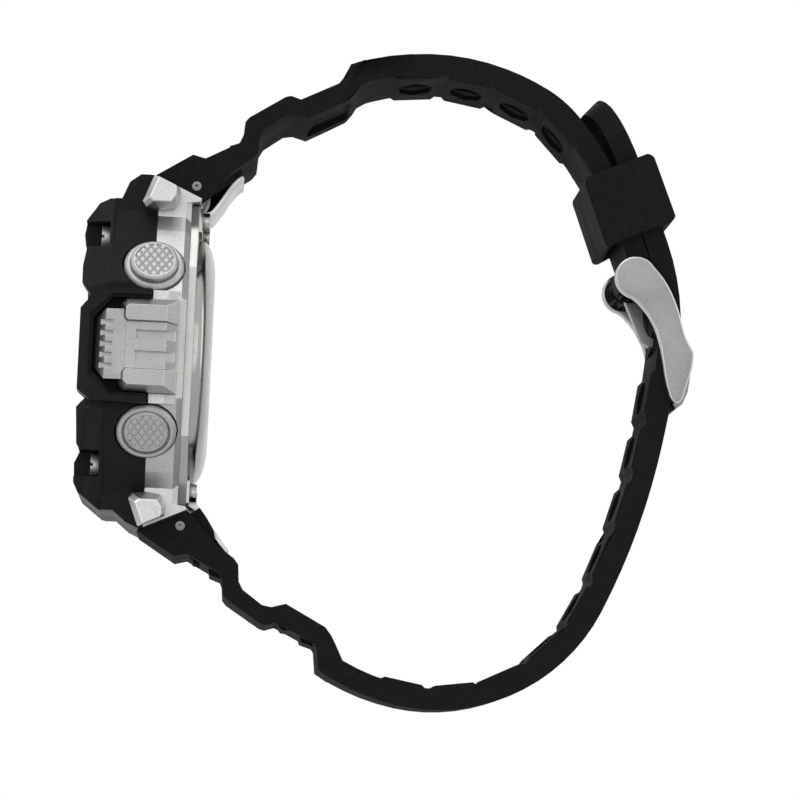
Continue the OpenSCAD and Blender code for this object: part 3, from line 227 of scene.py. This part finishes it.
# Polyurethane resin, moulded in an etched tool: soft black and matte, with hardly a gleam
def resin_material(name, colour, gleam=0.007, rough_low=0.52, rough_high=0.68):
    material, tree, shader = new_material(name)
    set_shader(shader, colour, 0.0, 0.6)
    shader.inputs["Specular IOR Level"].default_value = gleam
    place = grain_bump(tree, shader, 0.12, 0.008)
    vary_roughness(tree, shader, place, 9.0, rough_low, rough_high)
    speckle(tree, shader, place, 0.5, colour, 0.12)
    return material


# Bead-blasted cast metal: even silver grey. The grit's pits are about 0.05 mm, drawn 0.2 mm wide to show.
def blasted_metal(name, colour, rough=0.4):
    material, tree, shader = new_material(name)
    set_shader(shader, colour, 1.0, rough)
    place = grain_bump(tree, shader, 0.2, 0.006)
    vary_roughness(tree, shader, place, 4.0, rough - 0.04, rough + 0.06)
    speckle(tree, shader, place, 0.16, colour, 0.11)
    return material


# Rolled or drawn stainless steel, satin finished: smooth and bright, a little softer where it is handled.
# Brass that was turned and left plain looks the same in its own yellow.
def satin_metal(name, colour, rough=0.3):
    material, tree, shader = new_material(name)
    set_shader(shader, colour, 1.0, rough)
    place = add_node(tree, "ShaderNodeTexCoord")
    vary_roughness(tree, shader, place, 3.0, rough - 0.04, rough + 0.08)
    return material


WAVE_REPEAT = 2 * math.pi / 20  # distance between the rings of a wave texture of scale 1
TURNED_RING_MM = 1.885


# Turned stainless steel: faint circular marks round the watch's axis. The real ones are under 0.1 mm apart,
# and these are drawn TURNED_RING_MM apart to show.
def turned_steel(name, colour, rough=0.24):
    material, tree, shader = new_material(name)
    set_shader(shader, colour, 1.0, rough)
    place = add_node(tree, "ShaderNodeTexCoord")
    rings = add_node(tree, "ShaderNodeTexWave", {"Vector": place.outputs["Object"]},
                     wave_type="RINGS", rings_direction="X",
                     Scale=per_metre(TURNED_RING_MM) * WAVE_REPEAT, Distortion=0.4, Detail=2.0)
    bump = add_node(tree, "ShaderNodeBump", {"Height": rings.outputs["Fac"]},
                    Strength=0.5, Distance=0.001 * MM)
    tree.links.new(bump.outputs["Normal"], shader.inputs["Normal"])
    vary_roughness(tree, shader, place, 5.0, rough - 0.04, rough + 0.06)
    return material


# Injection-moulded ABS, nitrile rubber, coated film or glass-epoxy board: one even colour, matte to satin
def plain_moulding(name, colour, rough):
    material, tree, shader = new_material(name)
    set_shader(shader, colour, 0.0, rough)
    grain_bump(tree, shader, 0.2, 0.004)
    return material


# Mineral glass, polished flat: clear and colourless, with sharp reflections
def polished_glass(name):
    material, tree, shader = new_material(name)
    set_shader(shader, "#FFFFFF", 0.0, 0.02, 1.52)
    shader.inputs["Transmission Weight"].default_value = 1.0
    return material


def paint(node_names, material):
    """Gives CAD nodes a material."""
    for name in node_names:
        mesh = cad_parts[name].data
        mesh.materials.clear()
        mesh.materials.append(material)


def soften(node_names, radius, segments=2):
    """Rounds the edges of CAD nodes with modifiers that stay live; the nodes' own meshes stay as they are."""
    for name in node_names:
        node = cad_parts[name]
        weld = node.modifiers.new("Join corners", "WELD")
        weld.merge_threshold = MERGE_MM * MM
        flat = node.modifiers.new("Flat faces", "DECIMATE")
        flat.decimate_type = "DISSOLVE"
        flat.angle_limit = FLAT_ANGLE
        bevel = node.modifiers.new("Round edges", "BEVEL")
        bevel.width = radius
        bevel.segments = segments
        bevel.limit_method = "ANGLE"
        bevel.angle_limit = EDGE_ANGLE
        bevel.harden_normals = True


def polish_and_highlight_edges(node_names, material):
    """Gives the rounded edges of softened CAD nodes a material of their own."""
    for name in node_names:
        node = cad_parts[name]
        node.data.materials.append(material)
        node.modifiers["Round edges"].material = 1


class WATCH_OT_resin(bpy.types.Operator):
    """Bezel, straps and keeper in moulded black resin, their edges softened"""
    bl_idname = "watch.resin"
    bl_label = "Resin parts"

    def execute(self, context):
        sizes, colours = context.scene.watch_sizes, context.scene.watch_colours
        soften(RESIN_NODES, sizes.resin_edge, 3)
        paint(("bezel",), resin_material("Bezel resin", colours.resin, 0.05, 0.38, 0.48))
        paint(("strap_upper", "strap_lower"), resin_material("Strap resin", colours.resin))
        paint(("keeper",), resin_material("Keeper resin", colours.resin))
        return {"FINISHED"}


class WATCH_OT_case(bpy.types.Operator):
    """Case, guards, corner caps and tang in bead-blasted metal"""
    bl_idname = "watch.case"
    bl_label = "Metal parts"

    def execute(self, context):
        sizes, colours = context.scene.watch_sizes, context.scene.watch_colours
        soften(("case_body", "buckle_tang"), sizes.metal_edge)
        soften(("guard_right", "guard_left", "corner_caps"), sizes.guard_edge, 3)
        paint(("case_body",), blasted_metal("Body metal", colours.case_metal, 0.42))
        paint(("corner_caps",), blasted_metal("Cap metal", colours.case_metal, 0.4))
        paint(("guard_right", "guard_left"), blasted_metal("Guard metal", colours.guard_metal))
        paint(("buckle_tang",), blasted_metal("Tang steel", colours.buckle_steel, 0.36))
        # The guards' and caps' rounded edges are polished, and their lighter colour is a painted highlight
        polish_and_highlight_edges(("guard_right", "guard_left", "corner_caps"),
                     satin_metal("Rubbed guard edge", colours.rubbed_edge_and_highlight, 0.3))
        return {"FINISHED"}


class WATCH_OT_steel(bpy.types.Operator):
    """Caseback, lower stay, screws, buckle bar, clips and coin cell in stainless steel"""
    bl_idname = "watch.steel"
    bl_label = "Steel parts"

    def execute(self, context):
        sizes, colours = context.scene.watch_sizes, context.scene.watch_colours
        soften(("caseback", "strap_stay_lower", "caseback_screws", "bezel_screws"), sizes.fine_edge)
        paint(("caseback",), turned_steel("Turned caseback steel", colours.steel))
        paint(("strap_stay_lower",), satin_metal("Lower stay steel", colours.stay_steel))
        paint(("caseback_screws", "buckle_bar"), satin_metal("Screw steel", colours.steel, 0.22))
        # The bezel screws' much lighter steel is painted light against the shade of their notches
        paint(("bezel_screws",), satin_metal("Bezel screw steel", colours.bezel_screw_painted_light, 0.62))
        paint(["pusher_clip_" + p for p in PUSHERS] + ["cell_clamp", "coin_cell"],
              satin_metal("Spring steel", colours.steel, 0.25))
        return {"FINISHED"}


def select_faces(piece, test):
    """Selects the faces for which test(face) holds, in edit mode."""
    bpy.ops.mesh.select_mode(type="FACE")
    bpy.ops.mesh.select_all(action="DESELECT")
    bpy.ops.object.mode_set(mode="OBJECT")
    for face in piece.data.polygons:
        face.select = test(face)
    bpy.ops.object.mode_set(mode="EDIT")


# Ends of the strap bars, in mm: a groove hidden in the strap's bore, the ring that shows and the tube's hole.
# Each wall leans by BAR_LEAN_MM.
BAR_LEAN_MM = 0.02
BAR_GROOVE_DEPTH_MM = 0.35
BAR_GROOVE_WIDTH_MM = 0.16
BAR_RING_HEIGHT_MM = 0.3
BAR_HOLE_DEPTH_MM = 1.5
BAR_SIDES = 48


class WATCH_OT_bars(bpy.types.Operator):
    """Strap bars: steel tubes with turned-in ends, in place of the plain rods"""
    bl_idname = "watch.bars"
    bl_label = "Strap bars"

    def execute(self, context):
        sizes, colours = context.scene.watch_sizes, context.scene.watch_colours
        steel = satin_metal("Bar steel", colours.bar_steel, 0.3)
        for node in ("strap_bar_upper", "strap_bar_lower"):
            low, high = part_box(node)
            radius = (high[0] - low[0]) / 2
            middle = [(a + b) / 2 for a, b in zip(low, high)]
            bpy.ops.object.select_all(action="DESELECT")
            bpy.ops.mesh.primitive_cylinder_add(vertices=BAR_SIDES, radius=radius, depth=high[1] - low[1],
                                                location=middle, rotation=(math.pi / 2, 0, 0))
            bar = context.active_object
            bar.name = node.replace("strap_bar", "tube_bar")
            bpy.ops.object.transform_apply(location=True, rotation=True, scale=True)
            for side in (-1, 1):
                bpy.ops.object.mode_set(mode="EDIT")
                select_faces(bar, lambda face: face.normal.y * side > 0.9)
                bpy.ops.mesh.inset(thickness=BAR_LEAN_MM * MM, depth=-BAR_GROOVE_DEPTH_MM * MM)
                bpy.ops.mesh.inset(thickness=BAR_GROOVE_WIDTH_MM * MM, depth=0.0)
                bpy.ops.mesh.inset(thickness=BAR_LEAN_MM * MM, depth=BAR_RING_HEIGHT_MM * MM)
                bpy.ops.mesh.inset(thickness=sizes.bar_ring, depth=0.0)
                bpy.ops.mesh.inset(thickness=BAR_LEAN_MM * MM, depth=-BAR_HOLE_DEPTH_MM * MM)
                bpy.ops.object.mode_set(mode="OBJECT")
            bar.data.materials.append(steel)
            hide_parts(node)
            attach(bar, "watch")
        return {"FINISHED"}


def curved_plate(context, outline_mm, middle_y, half, edge):
    """A plate across y with rounded edges. Its curved outline is in mm along x and z; True marks a corner."""
    curve = bpy.data.curves.new("plate", "CURVE")
    curve.dimensions = "2D"
    curve.fill_mode = "BOTH"
    curve.resolution_u = 6
    curve.extrude = half - edge
    curve.bevel_depth = edge
    curve.bevel_resolution = 2
    curve.offset = -edge
    outline = curve.splines.new("BEZIER")
    outline.use_cyclic_u = True
    outline.bezier_points.add(len(outline_mm) - 1)
    for point, (x, z, corner) in zip(outline.bezier_points, outline_mm):
        point.co = (x * MM, z * MM, 0)
        point.handle_left_type = point.handle_right_type = "VECTOR" if corner else "AUTO"
    plate = bpy.data.objects.new("plate", curve)
    context.scene.collection.objects.link(plate)
    bpy.ops.object.select_all(action="DESELECT")
    plate.select_set(True)
    context.view_layer.objects.active = plate
    bpy.ops.object.convert(target="MESH")
    plate = context.active_object
    plate.rotation_euler = (math.pi / 2, 0, 0)
    plate.location = (0, middle_y, 0)
    bpy.ops.object.transform_apply(location=True, rotation=True, scale=True)
    bpy.ops.object.mode_set(mode="EDIT")
    bpy.ops.mesh.select_all(action="SELECT")
    bpy.ops.mesh.remove_doubles(threshold=MERGE_MM * MM / 10)
    bpy.ops.mesh.normals_make_consistent(inside=False)
    bpy.ops.object.mode_set(mode="OBJECT")
    plate.data.materials.clear()
    return plate


def cut_copy(context, node, material, cuts, join_faces):
    """A merged copy of a CAD node's mesh, cut off and closed at planes given by a point and their outer side.

    join_faces makes one face of the triangles in each plane, so that its edges can be rounded.
    """
    bpy.ops.object.select_all(action="DESELECT")
    bpy.ops.mesh.primitive_cube_add(size=0.01)
    piece = context.active_object
    piece.data = node.data.copy()
    piece.data.materials.clear()
    piece.data.materials.append(material)
    bpy.ops.object.mode_set(mode="EDIT")
    bpy.ops.mesh.select_all(action="SELECT")
    bpy.ops.mesh.remove_doubles(threshold=MERGE_MM * MM)
    if join_faces:
        bpy.ops.mesh.dissolve_limited(angle_limit=FLAT_ANGLE)
    for point, outer in cuts:
        # The cut's usual reach of 0.1 mm would take in faces that lie just beside the plane
        bpy.ops.mesh.select_all(action="SELECT")
        bpy.ops.mesh.bisect(plane_co=point, plane_no=outer, use_fill=True, clear_outer=True,
                            threshold=0.001 * MM)
    bpy.ops.object.mode_set(mode="OBJECT")
    return piece


# Side of the upper stay's leg, in mm: x, and height above the strip's outer end; True marks a corner
STAY_LEG_MM = (
    (-2.25, -0.02, True), (-1.5, 0.0, False), (-1.0, 0.14, False), (-0.62, 0.52, False), (-0.12, 1.22, False),
    (0.5, 2.15, False), (1.15, 3.2, False), (1.8, 4.1, False), (2.4, 4.7, False), (2.85, 4.95, True),
    (3.12, 4.6, True), (2.72, 4.36, False), (2.12, 3.76, False), (1.47, 2.86, False), (0.82, 1.81, False),
    (0.2, 0.88, False), (-0.28, 0.2, False), (-0.72, -0.3, False), (-1.3, -0.48, False), (-2.25, -0.5, True))
STAY_HALF_WIDTH_MM = 8.0
STAY_THICKNESS_MM = 0.4
STAY_STRIP_HEIGHT_MM = 2.85
STAY_CUT_MM = 0.02  # the CAD node's own leg is cut off this far above the strip


class WATCH_OT_stay(bpy.types.Operator):
    """Stay at 12 o'clock: a steel strip under two screws, with a leg that bends twice behind the strap"""
    bl_idname = "watch.stay"
    bl_label = "Upper strap stay"

    def execute(self, context):
        sizes, colours = context.scene.watch_sizes, context.scene.watch_colours
        steel = satin_metal("Stay steel", colours.stay_steel)
        low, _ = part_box("strap_stay_upper")
        strip_end = low.z / MM + STAY_STRIP_HEIGHT_MM
        side = [(x, z + strip_end, corner) for x, z, corner in STAY_LEG_MM]
        leg = curved_plate(context, side, 0.0, STAY_HALF_WIDTH_MM * MM, sizes.fine_edge)
        leg.data.materials.append(steel)
        strip_top = low.x + (STAY_THICKNESS_MM + STAY_CUT_MM) * MM
        cut_copy(context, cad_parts["strap_stay_upper"], steel, [((strip_top, 0, 0), (1, 0, 0))], False)
        leg.select_set(True)
        bpy.ops.object.join()
        stay = context.active_object
        stay.name = "bent_stay_upper"
        bpy.ops.object.shade_smooth_by_angle(angle=SMOOTH_ANGLE)
        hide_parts("strap_stay_upper")
        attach(stay, "watch")
        return {"FINISHED"}


# Outline of the buckle's side plates, in mm along x and z: round the bar's eye, down the arm and back up;
# True marks a corner
BUCKLE_PLATE_MM = (
    (55.43, 14.05, False), (54.51, 14.93, False), (53.18, 15.28, False), (51.86, 14.93, False),
    (50.89, 13.96, False), (50.54, 12.64, False), (50.89, 11.31, False), (51.86, 10.34, False),
    (52.93, 9.86, False), (54.02, 8.88, False), (55.36, 7.15, False), (56.37, 4.86, False),
    (56.95, 2.30, False), (57.32, 0.29, False), (57.83, -1.55, False), (58.35, -2.72, False),
    (59.0, -3.1, False), (59.57, -2.69, False), (60.06, -1.2, False), (60.81, 1.78, False),
    (60.9, 3.44, True), (59.94, 5.09, False), (59.49, 6.21, False), (58.65, 8.89, False),
    (57.04, 12.12, False))
BUCKLE_PLATE_THICKNESS_MM = 1.5
BUCKLE_PLATE_LAP_MM = 0.06  # how far the plates reach in past the crossbar's ends


class WATCH_OT_buckle(bpy.types.Operator):
    """Buckle: two curved side plates with polished edges, coloured lighter as a painted highlight, joined by
    the crossbar
    """
    bl_idname = "watch.buckle"
    bl_label = "Buckle"

    def execute(self, context):
        sizes, colours = context.scene.watch_sizes, context.scene.watch_colours
        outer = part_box("buckle_frame")[1].y
        half = (BUCKLE_PLATE_THICKNESS_MM + BUCKLE_PLATE_LAP_MM) * MM / 2
        face_steel = blasted_metal("Buckle steel", colours.buckle_steel, 0.36)
        # The polished edge's lighter colour is a painted highlight
        edge_steel_and_highlight = satin_metal("Polished buckle edge", colours.buckle_rim_and_highlight, 0.3)
        parts = []
        for side in (-1, 1):
            plate = curved_plate(context, BUCKLE_PLATE_MM, side * (outer - half), half, sizes.buckle_edge)
            plate.data.materials.append(face_steel)
            plate.data.materials.append(edge_steel_and_highlight)
            for face in plate.data.polygons:
                face.material_index = 0 if abs(face.normal.y) > 0.99 else 1
            parts.append(plate)
        inside = outer - (BUCKLE_PLATE_THICKNESS_MM + BUCKLE_PLATE_LAP_MM / 2) * MM
        ends = [((0, side * inside, 0), (0, side, 0)) for side in (-1, 1)]
        bar = cut_copy(context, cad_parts["buckle_frame"], face_steel, ends, True)
        round_edges = bar.modifiers.new("Round edges", "BEVEL")
        round_edges.width = sizes.metal_edge
        round_edges.segments = 2
        round_edges.limit_method = "ANGLE"
        bpy.ops.object.modifier_apply(modifier="Round edges")
        for plate in parts:
            plate.select_set(True)
        bpy.ops.object.join()
        buckle = context.active_object
        buckle.name = "buckle_plates"
        bpy.ops.object.shade_smooth_by_angle(angle=SMOOTH_ANGLE)
        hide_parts("buckle_frame")
        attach(buckle, "buckle")
        return {"FINISHED"}


SPRING_TURNS = 3
SPRING_SIDES = 10  # faces round the wire
SPRING_STEPS = 24  # faces along one turn
SPRING_SMOOTH_ANGLE = math.radians(40)  # just over the angle between two faces round the wire


class WATCH_OT_springs(bpy.types.Operator):
    """Return springs of the pushers: coils of round wire"""
    bl_idname = "watch.springs"
    bl_label = "Pusher springs"

    def execute(self, context):
        sizes, colours = context.scene.watch_sizes, context.scene.watch_colours
        steel = satin_metal("Spring wire", colours.steel, 0.25)
        for pusher, (side, end) in PUSHERS.items():
            node = "pusher_spring_" + pusher
            out = Vector((0, side * math.cos(PUSHER_ANGLE), end * math.sin(PUSHER_ANGLE)))
            across = Vector((0, -out.z, out.y))
            points = [v.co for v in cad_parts[node].data.vertices]
            along = [p.dot(out) for p in points]
            offset = [p.dot(across) for p in points]
            middle_x = sum(corner.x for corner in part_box(node)) / 2
            seat = out * min(along) + across * (min(offset) + max(offset)) / 2 + Vector((middle_x, 0, 0))
            length = max(along) - min(along)
            wire = sizes.spring_wire
            bpy.ops.object.select_all(action="DESELECT")
            bpy.ops.mesh.primitive_circle_add(vertices=SPRING_SIDES, radius=wire, fill_type="NGON",
                                              location=((max(offset) - min(offset)) / 2 - wire, 0, wire),
                                              rotation=(math.pi / 2, 0, 0))
            coil = context.active_object
            coil.name = "spring_coil_" + pusher
            bpy.ops.object.transform_apply(location=True, rotation=True, scale=True)
            bpy.ops.object.mode_set(mode="EDIT")
            bpy.ops.mesh.select_all(action="SELECT")
            bpy.ops.mesh.delete(type="ONLY_FACE")
            bpy.ops.object.mode_set(mode="OBJECT")
            turns = coil.modifiers.new("Wind", "SCREW")
            turns.axis = "Z"
            turns.angle = 2 * math.pi * SPRING_TURNS
            turns.screw_offset = length - 2 * wire
            turns.steps = turns.render_steps = SPRING_STEPS * SPRING_TURNS
            bpy.ops.object.modifier_apply(modifier="Wind")
            bpy.ops.object.mode_set(mode="EDIT")
            bpy.ops.mesh.select_all(action="DESELECT")
            bpy.ops.mesh.select_mode(type="EDGE")
            bpy.ops.mesh.select_non_manifold()
            bpy.ops.mesh.fill_holes(sides=0)
            bpy.ops.mesh.select_all(action="SELECT")
            bpy.ops.mesh.normals_make_consistent(inside=False)
            bpy.ops.object.mode_set(mode="OBJECT")
            coil.matrix_world = Matrix.Translation(seat) @ out.to_track_quat("Z", "X").to_matrix().to_4x4()
            bpy.ops.object.transform_apply(location=True, rotation=True, scale=True)
            bpy.ops.object.shade_smooth_by_angle(angle=SPRING_SMOOTH_ANGLE)
            coil.data.materials.append(steel)
            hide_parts(node)
            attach(coil, "watch")
            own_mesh(coil)
        return {"FINISHED"}


class WATCH_OT_pushers(bpy.types.Operator):
    """Round pushers with knurled caps"""
    bl_idname = "watch.pushers"
    bl_label = "Pushers"

    def execute(self, context):
        sizes, colours = context.scene.watch_sizes, context.scene.watch_colours
        names = ["pusher_" + p for p in PUSHERS]
        soften(names, 2 * sizes.fine_edge)
        paint(names, blasted_metal("Pusher metal", colours.pusher_metal, 0.55))
        return {"FINISHED"}


class WATCH_OT_display(bpy.types.Operator):
    """Crystal, display and its surround"""
    bl_idname = "watch.display"
    bl_label = "Display"

    def execute(self, context):
        colours = context.scene.watch_colours
        paint(("crystal",), polished_glass("Mineral glass"))
        paint(("display_ring",), plain_moulding("Display ring", colours.display_ring, 0.4))
        paint(("lcd_panel",), plain_moulding("Liquid crystal panel", colours.display_panel, 0.3))
        paint(("lcd_segments",), plain_moulding("Display digits", colours.display_digits, 0.35))
        paint(("backlight",), plain_moulding("Light panel", "#DDE3D2", 0.5))
        return {"FINISHED"}


class WATCH_OT_movement(bpy.types.Operator):
    """Movement pieces and seals inside the case"""
    bl_idname = "watch.movement"
    bl_label = "Movement"

    def execute(self, context):
        colours = context.scene.watch_colours
        paint(("module_frame",), plain_moulding("Movement frame", "#4A4B4D", 0.5))
        paint(("contact_strips",), plain_moulding("Contact strip rubber", "#C9A7A5", 0.6))
        paint(("circuit_board",), plain_moulding("Circuit board", "#1E5B33", 0.35))
        paint(("module_chips",), plain_moulding("Chip resin", "#1A1A1B", 0.5))
        paint(("crystal_gasket", "caseback_gasket", "pusher_seals", "cushion"),
              plain_moulding("Seal rubber", "#1B1B1B", 0.6))
        paint(("buzzer", "pusher_sleeves"), satin_metal("Brass", colours.brass, 0.3))
        return {"FINISHED"}


# The photograph, in pixels: its size, its focal length, where lines along +Y meet, and the origin's place
PHOTO_PX = 800
FOCAL_PX = 5460.0
SIDE_AXIS_PX = (207.0, 794.0)
ORIGIN_PX = (211.0, 363.8)
ROLL_DEG = 2.65
CAMERA_DISTANCE = 0.7
SENSOR_MM = 36.0
# Each lamp's place and size in metres and its power in watts; all face the watch's middle
LAMPS = (
    ("Front softbox", (-0.1, -0.95, 0.15), (1.0, 0.8), 1.9),
    ("Top softbox", (-0.3, -0.25, 0.75), (0.6, 0.6), 2.6),
    ("Right strip", (0.7, -0.1, 0.2), (0.2, 0.5), 0.5))
LAMP_TARGET = (0.03, 0, 0)
ROOM_LIGHT = 0.82  # strength of the world's light on the watch
FLOOR_SIZE = 6.0


def camera_matrix():
    """Camera's place: lines along +Y meet at SIDE_AXIS_PX, +Z leans by ROLL_DEG, origin at ORIGIN_PX."""
    middle = PHOTO_PX / 2
    side = Vector(((SIDE_AXIS_PX[0] - middle) / FOCAL_PX, (SIDE_AXIS_PX[1] - middle) / FOCAL_PX, 1.0))
    side.normalize()
    roll = math.radians(ROLL_DEG)
    up = Vector((math.sin(roll), -math.cos(roll), 0.0))
    up.z = -(up.x * side.x + up.y * side.y) / side.z
    up.normalize()
    across = side.cross(up)
    origin = Vector(((ORIGIN_PX[0] - middle) / FOCAL_PX, (ORIGIN_PX[1] - middle) / FOCAL_PX, 1.0))
    origin *= CAMERA_DISTANCE
    turn = Matrix((across, side, up)).transposed()
    place = -(turn.transposed() @ origin)
    right = Vector((across.x, side.x, up.x))
    down = Vector((across.y, side.y, up.y))
    forward = Vector((across.z, side.z, up.z))
    return Matrix.Translation(place) @ Matrix((right, -down, -forward)).transposed().to_4x4()


def area_light(name, place, size, power):
    """A rectangular lamp that faces the watch."""
    light = bpy.data.lights.new(name, "AREA")
    light.shape = "RECTANGLE"
    light.size, light.size_y = size
    light.energy = power
    holder = bpy.data.objects.new(name, light)
    bpy.context.scene.collection.objects.link(holder)
    holder.location = place
    holder.rotation_euler = (Vector(LAMP_TARGET) - Vector(place)).to_track_quat("-Z", "Y").to_euler()


class WATCH_OT_stage(bpy.types.Operator):
    """Floor, light and the camera at the photograph's angle"""
    bl_idname = "watch.stage"
    bl_label = "Stage"

    def execute(self, context):
        scene = context.scene
        scene.view_settings.view_transform = "Standard"
        drop, pale = scene.watch_sizes.floor_drop, linear(scene.watch_colours.floor)
        bpy.ops.object.select_all(action="DESELECT")
        bpy.ops.mesh.primitive_plane_add(size=FLOOR_SIZE, location=(0, 0, -drop))
        floor = context.active_object
        floor.name = "floor"
        # Matte painted board: an even pale grey, which reflections in the metal meet as plain light
        material = bpy.data.materials.new("Pale floor")
        material.use_nodes = True
        tree = material.node_tree
        tree.nodes.clear()
        paths = add_node(tree, "ShaderNodeLightPath")
        matte = add_node(tree, "ShaderNodeBsdfDiffuse", Color=pale)
        mirrored = add_node(tree, "ShaderNodeEmission", Color=pale)
        mix = add_node(tree, "ShaderNodeMixShader",
                       {0: paths.outputs["Is Glossy Ray"], 1: matte.outputs[0], 2: mirrored.outputs[0]})
        add_node(tree, "ShaderNodeOutputMaterial", {"Surface": mix.outputs[0]})
        floor.data.materials.append(material)

        # The camera, glass and metal see plain white, and everything else is lit by ROOM_LIGHT
        world = bpy.data.worlds.new("Studio")
        scene.world = world
        world.use_nodes = True
        tree = world.node_tree
        tree.nodes.clear()
        paths = add_node(tree, "ShaderNodeLightPath")
        straight = add_node(tree, "ShaderNodeMath",
                            {0: paths.outputs["Is Camera Ray"], 1: paths.outputs["Is Transmission Ray"]},
                            operation="MAXIMUM")
        seen = add_node(tree, "ShaderNodeMath",
                        {0: straight.outputs["Value"], 1: paths.outputs["Is Glossy Ray"]},
                        operation="MAXIMUM")
        lit = add_node(tree, "ShaderNodeBackground", Color=linear("#FFFFFF"), Strength=ROOM_LIGHT)
        white = add_node(tree, "ShaderNodeBackground", Color=linear("#FFFFFF"), Strength=1.0)
        mix = add_node(tree, "ShaderNodeMixShader",
                       {0: seen.outputs["Value"], 1: lit.outputs[0], 2: white.outputs[0]})
        add_node(tree, "ShaderNodeOutputWorld", {"Surface": mix.outputs[0]})

        for name, place, size, power in LAMPS:
            area_light(name, place, size, power)

        camera = bpy.data.cameras.new("Camera")
        camera.sensor_width = SENSOR_MM
        camera.lens = FOCAL_PX * SENSOR_MM / PHOTO_PX
        camera.clip_start, camera.clip_end = 0.01, 20.0
        holder = bpy.data.objects.new("Camera", camera)
        scene.collection.objects.link(holder)
        holder.matrix_world = camera_matrix()
        scene.camera = holder
        return {"FINISHED"}


class WATCH_PT_panel(bpy.types.Panel):
    """Lists the watch's sizes, colours and steps"""
    bl_idname = "WATCH_PT_panel"
    bl_label = "Watch"
    bl_space_type = "VIEW_3D"
    bl_region_type = "UI"
    bl_category = "Watch"

    def draw(self, context):
        for group in (context.scene.watch_sizes, context.scene.watch_colours):
            for key in group.__annotations__:
                self.layout.prop(group, key)
        for operator in OPERATORS:
            self.layout.operator(operator.bl_idname)


OPERATORS = (WATCH_OT_resin, WATCH_OT_case, WATCH_OT_steel, WATCH_OT_bars, WATCH_OT_stay, WATCH_OT_buckle,
             WATCH_OT_springs, WATCH_OT_pushers, WATCH_OT_display, WATCH_OT_movement, WATCH_OT_stage)
CLASSES = (WatchSizes, WatchColours) + OPERATORS + (WATCH_PT_panel,)


def register():
    for cls in CLASSES:
        bpy.utils.register_class(cls)
    bpy.types.Scene.watch_sizes = bpy.props.PointerProperty(type=WatchSizes)
    bpy.types.Scene.watch_colours = bpy.props.PointerProperty(type=WatchColours)


def unregister():
    del bpy.types.Scene.watch_colours
    del bpy.types.Scene.watch_sizes
    for cls in reversed(CLASSES):
        bpy.utils.unregister_class(cls)


def main():
    register()
    bpy.ops.watch.resin()
    bpy.ops.watch.case()
    bpy.ops.watch.steel()
    bpy.ops.watch.bars()
    bpy.ops.watch.stay()
    bpy.ops.watch.buckle()
    bpy.ops.watch.springs()
    bpy.ops.watch.pushers()
    bpy.ops.watch.display()
    bpy.ops.watch.movement()
    bpy.ops.watch.stage()


if __name__ == "__main__":
    main()
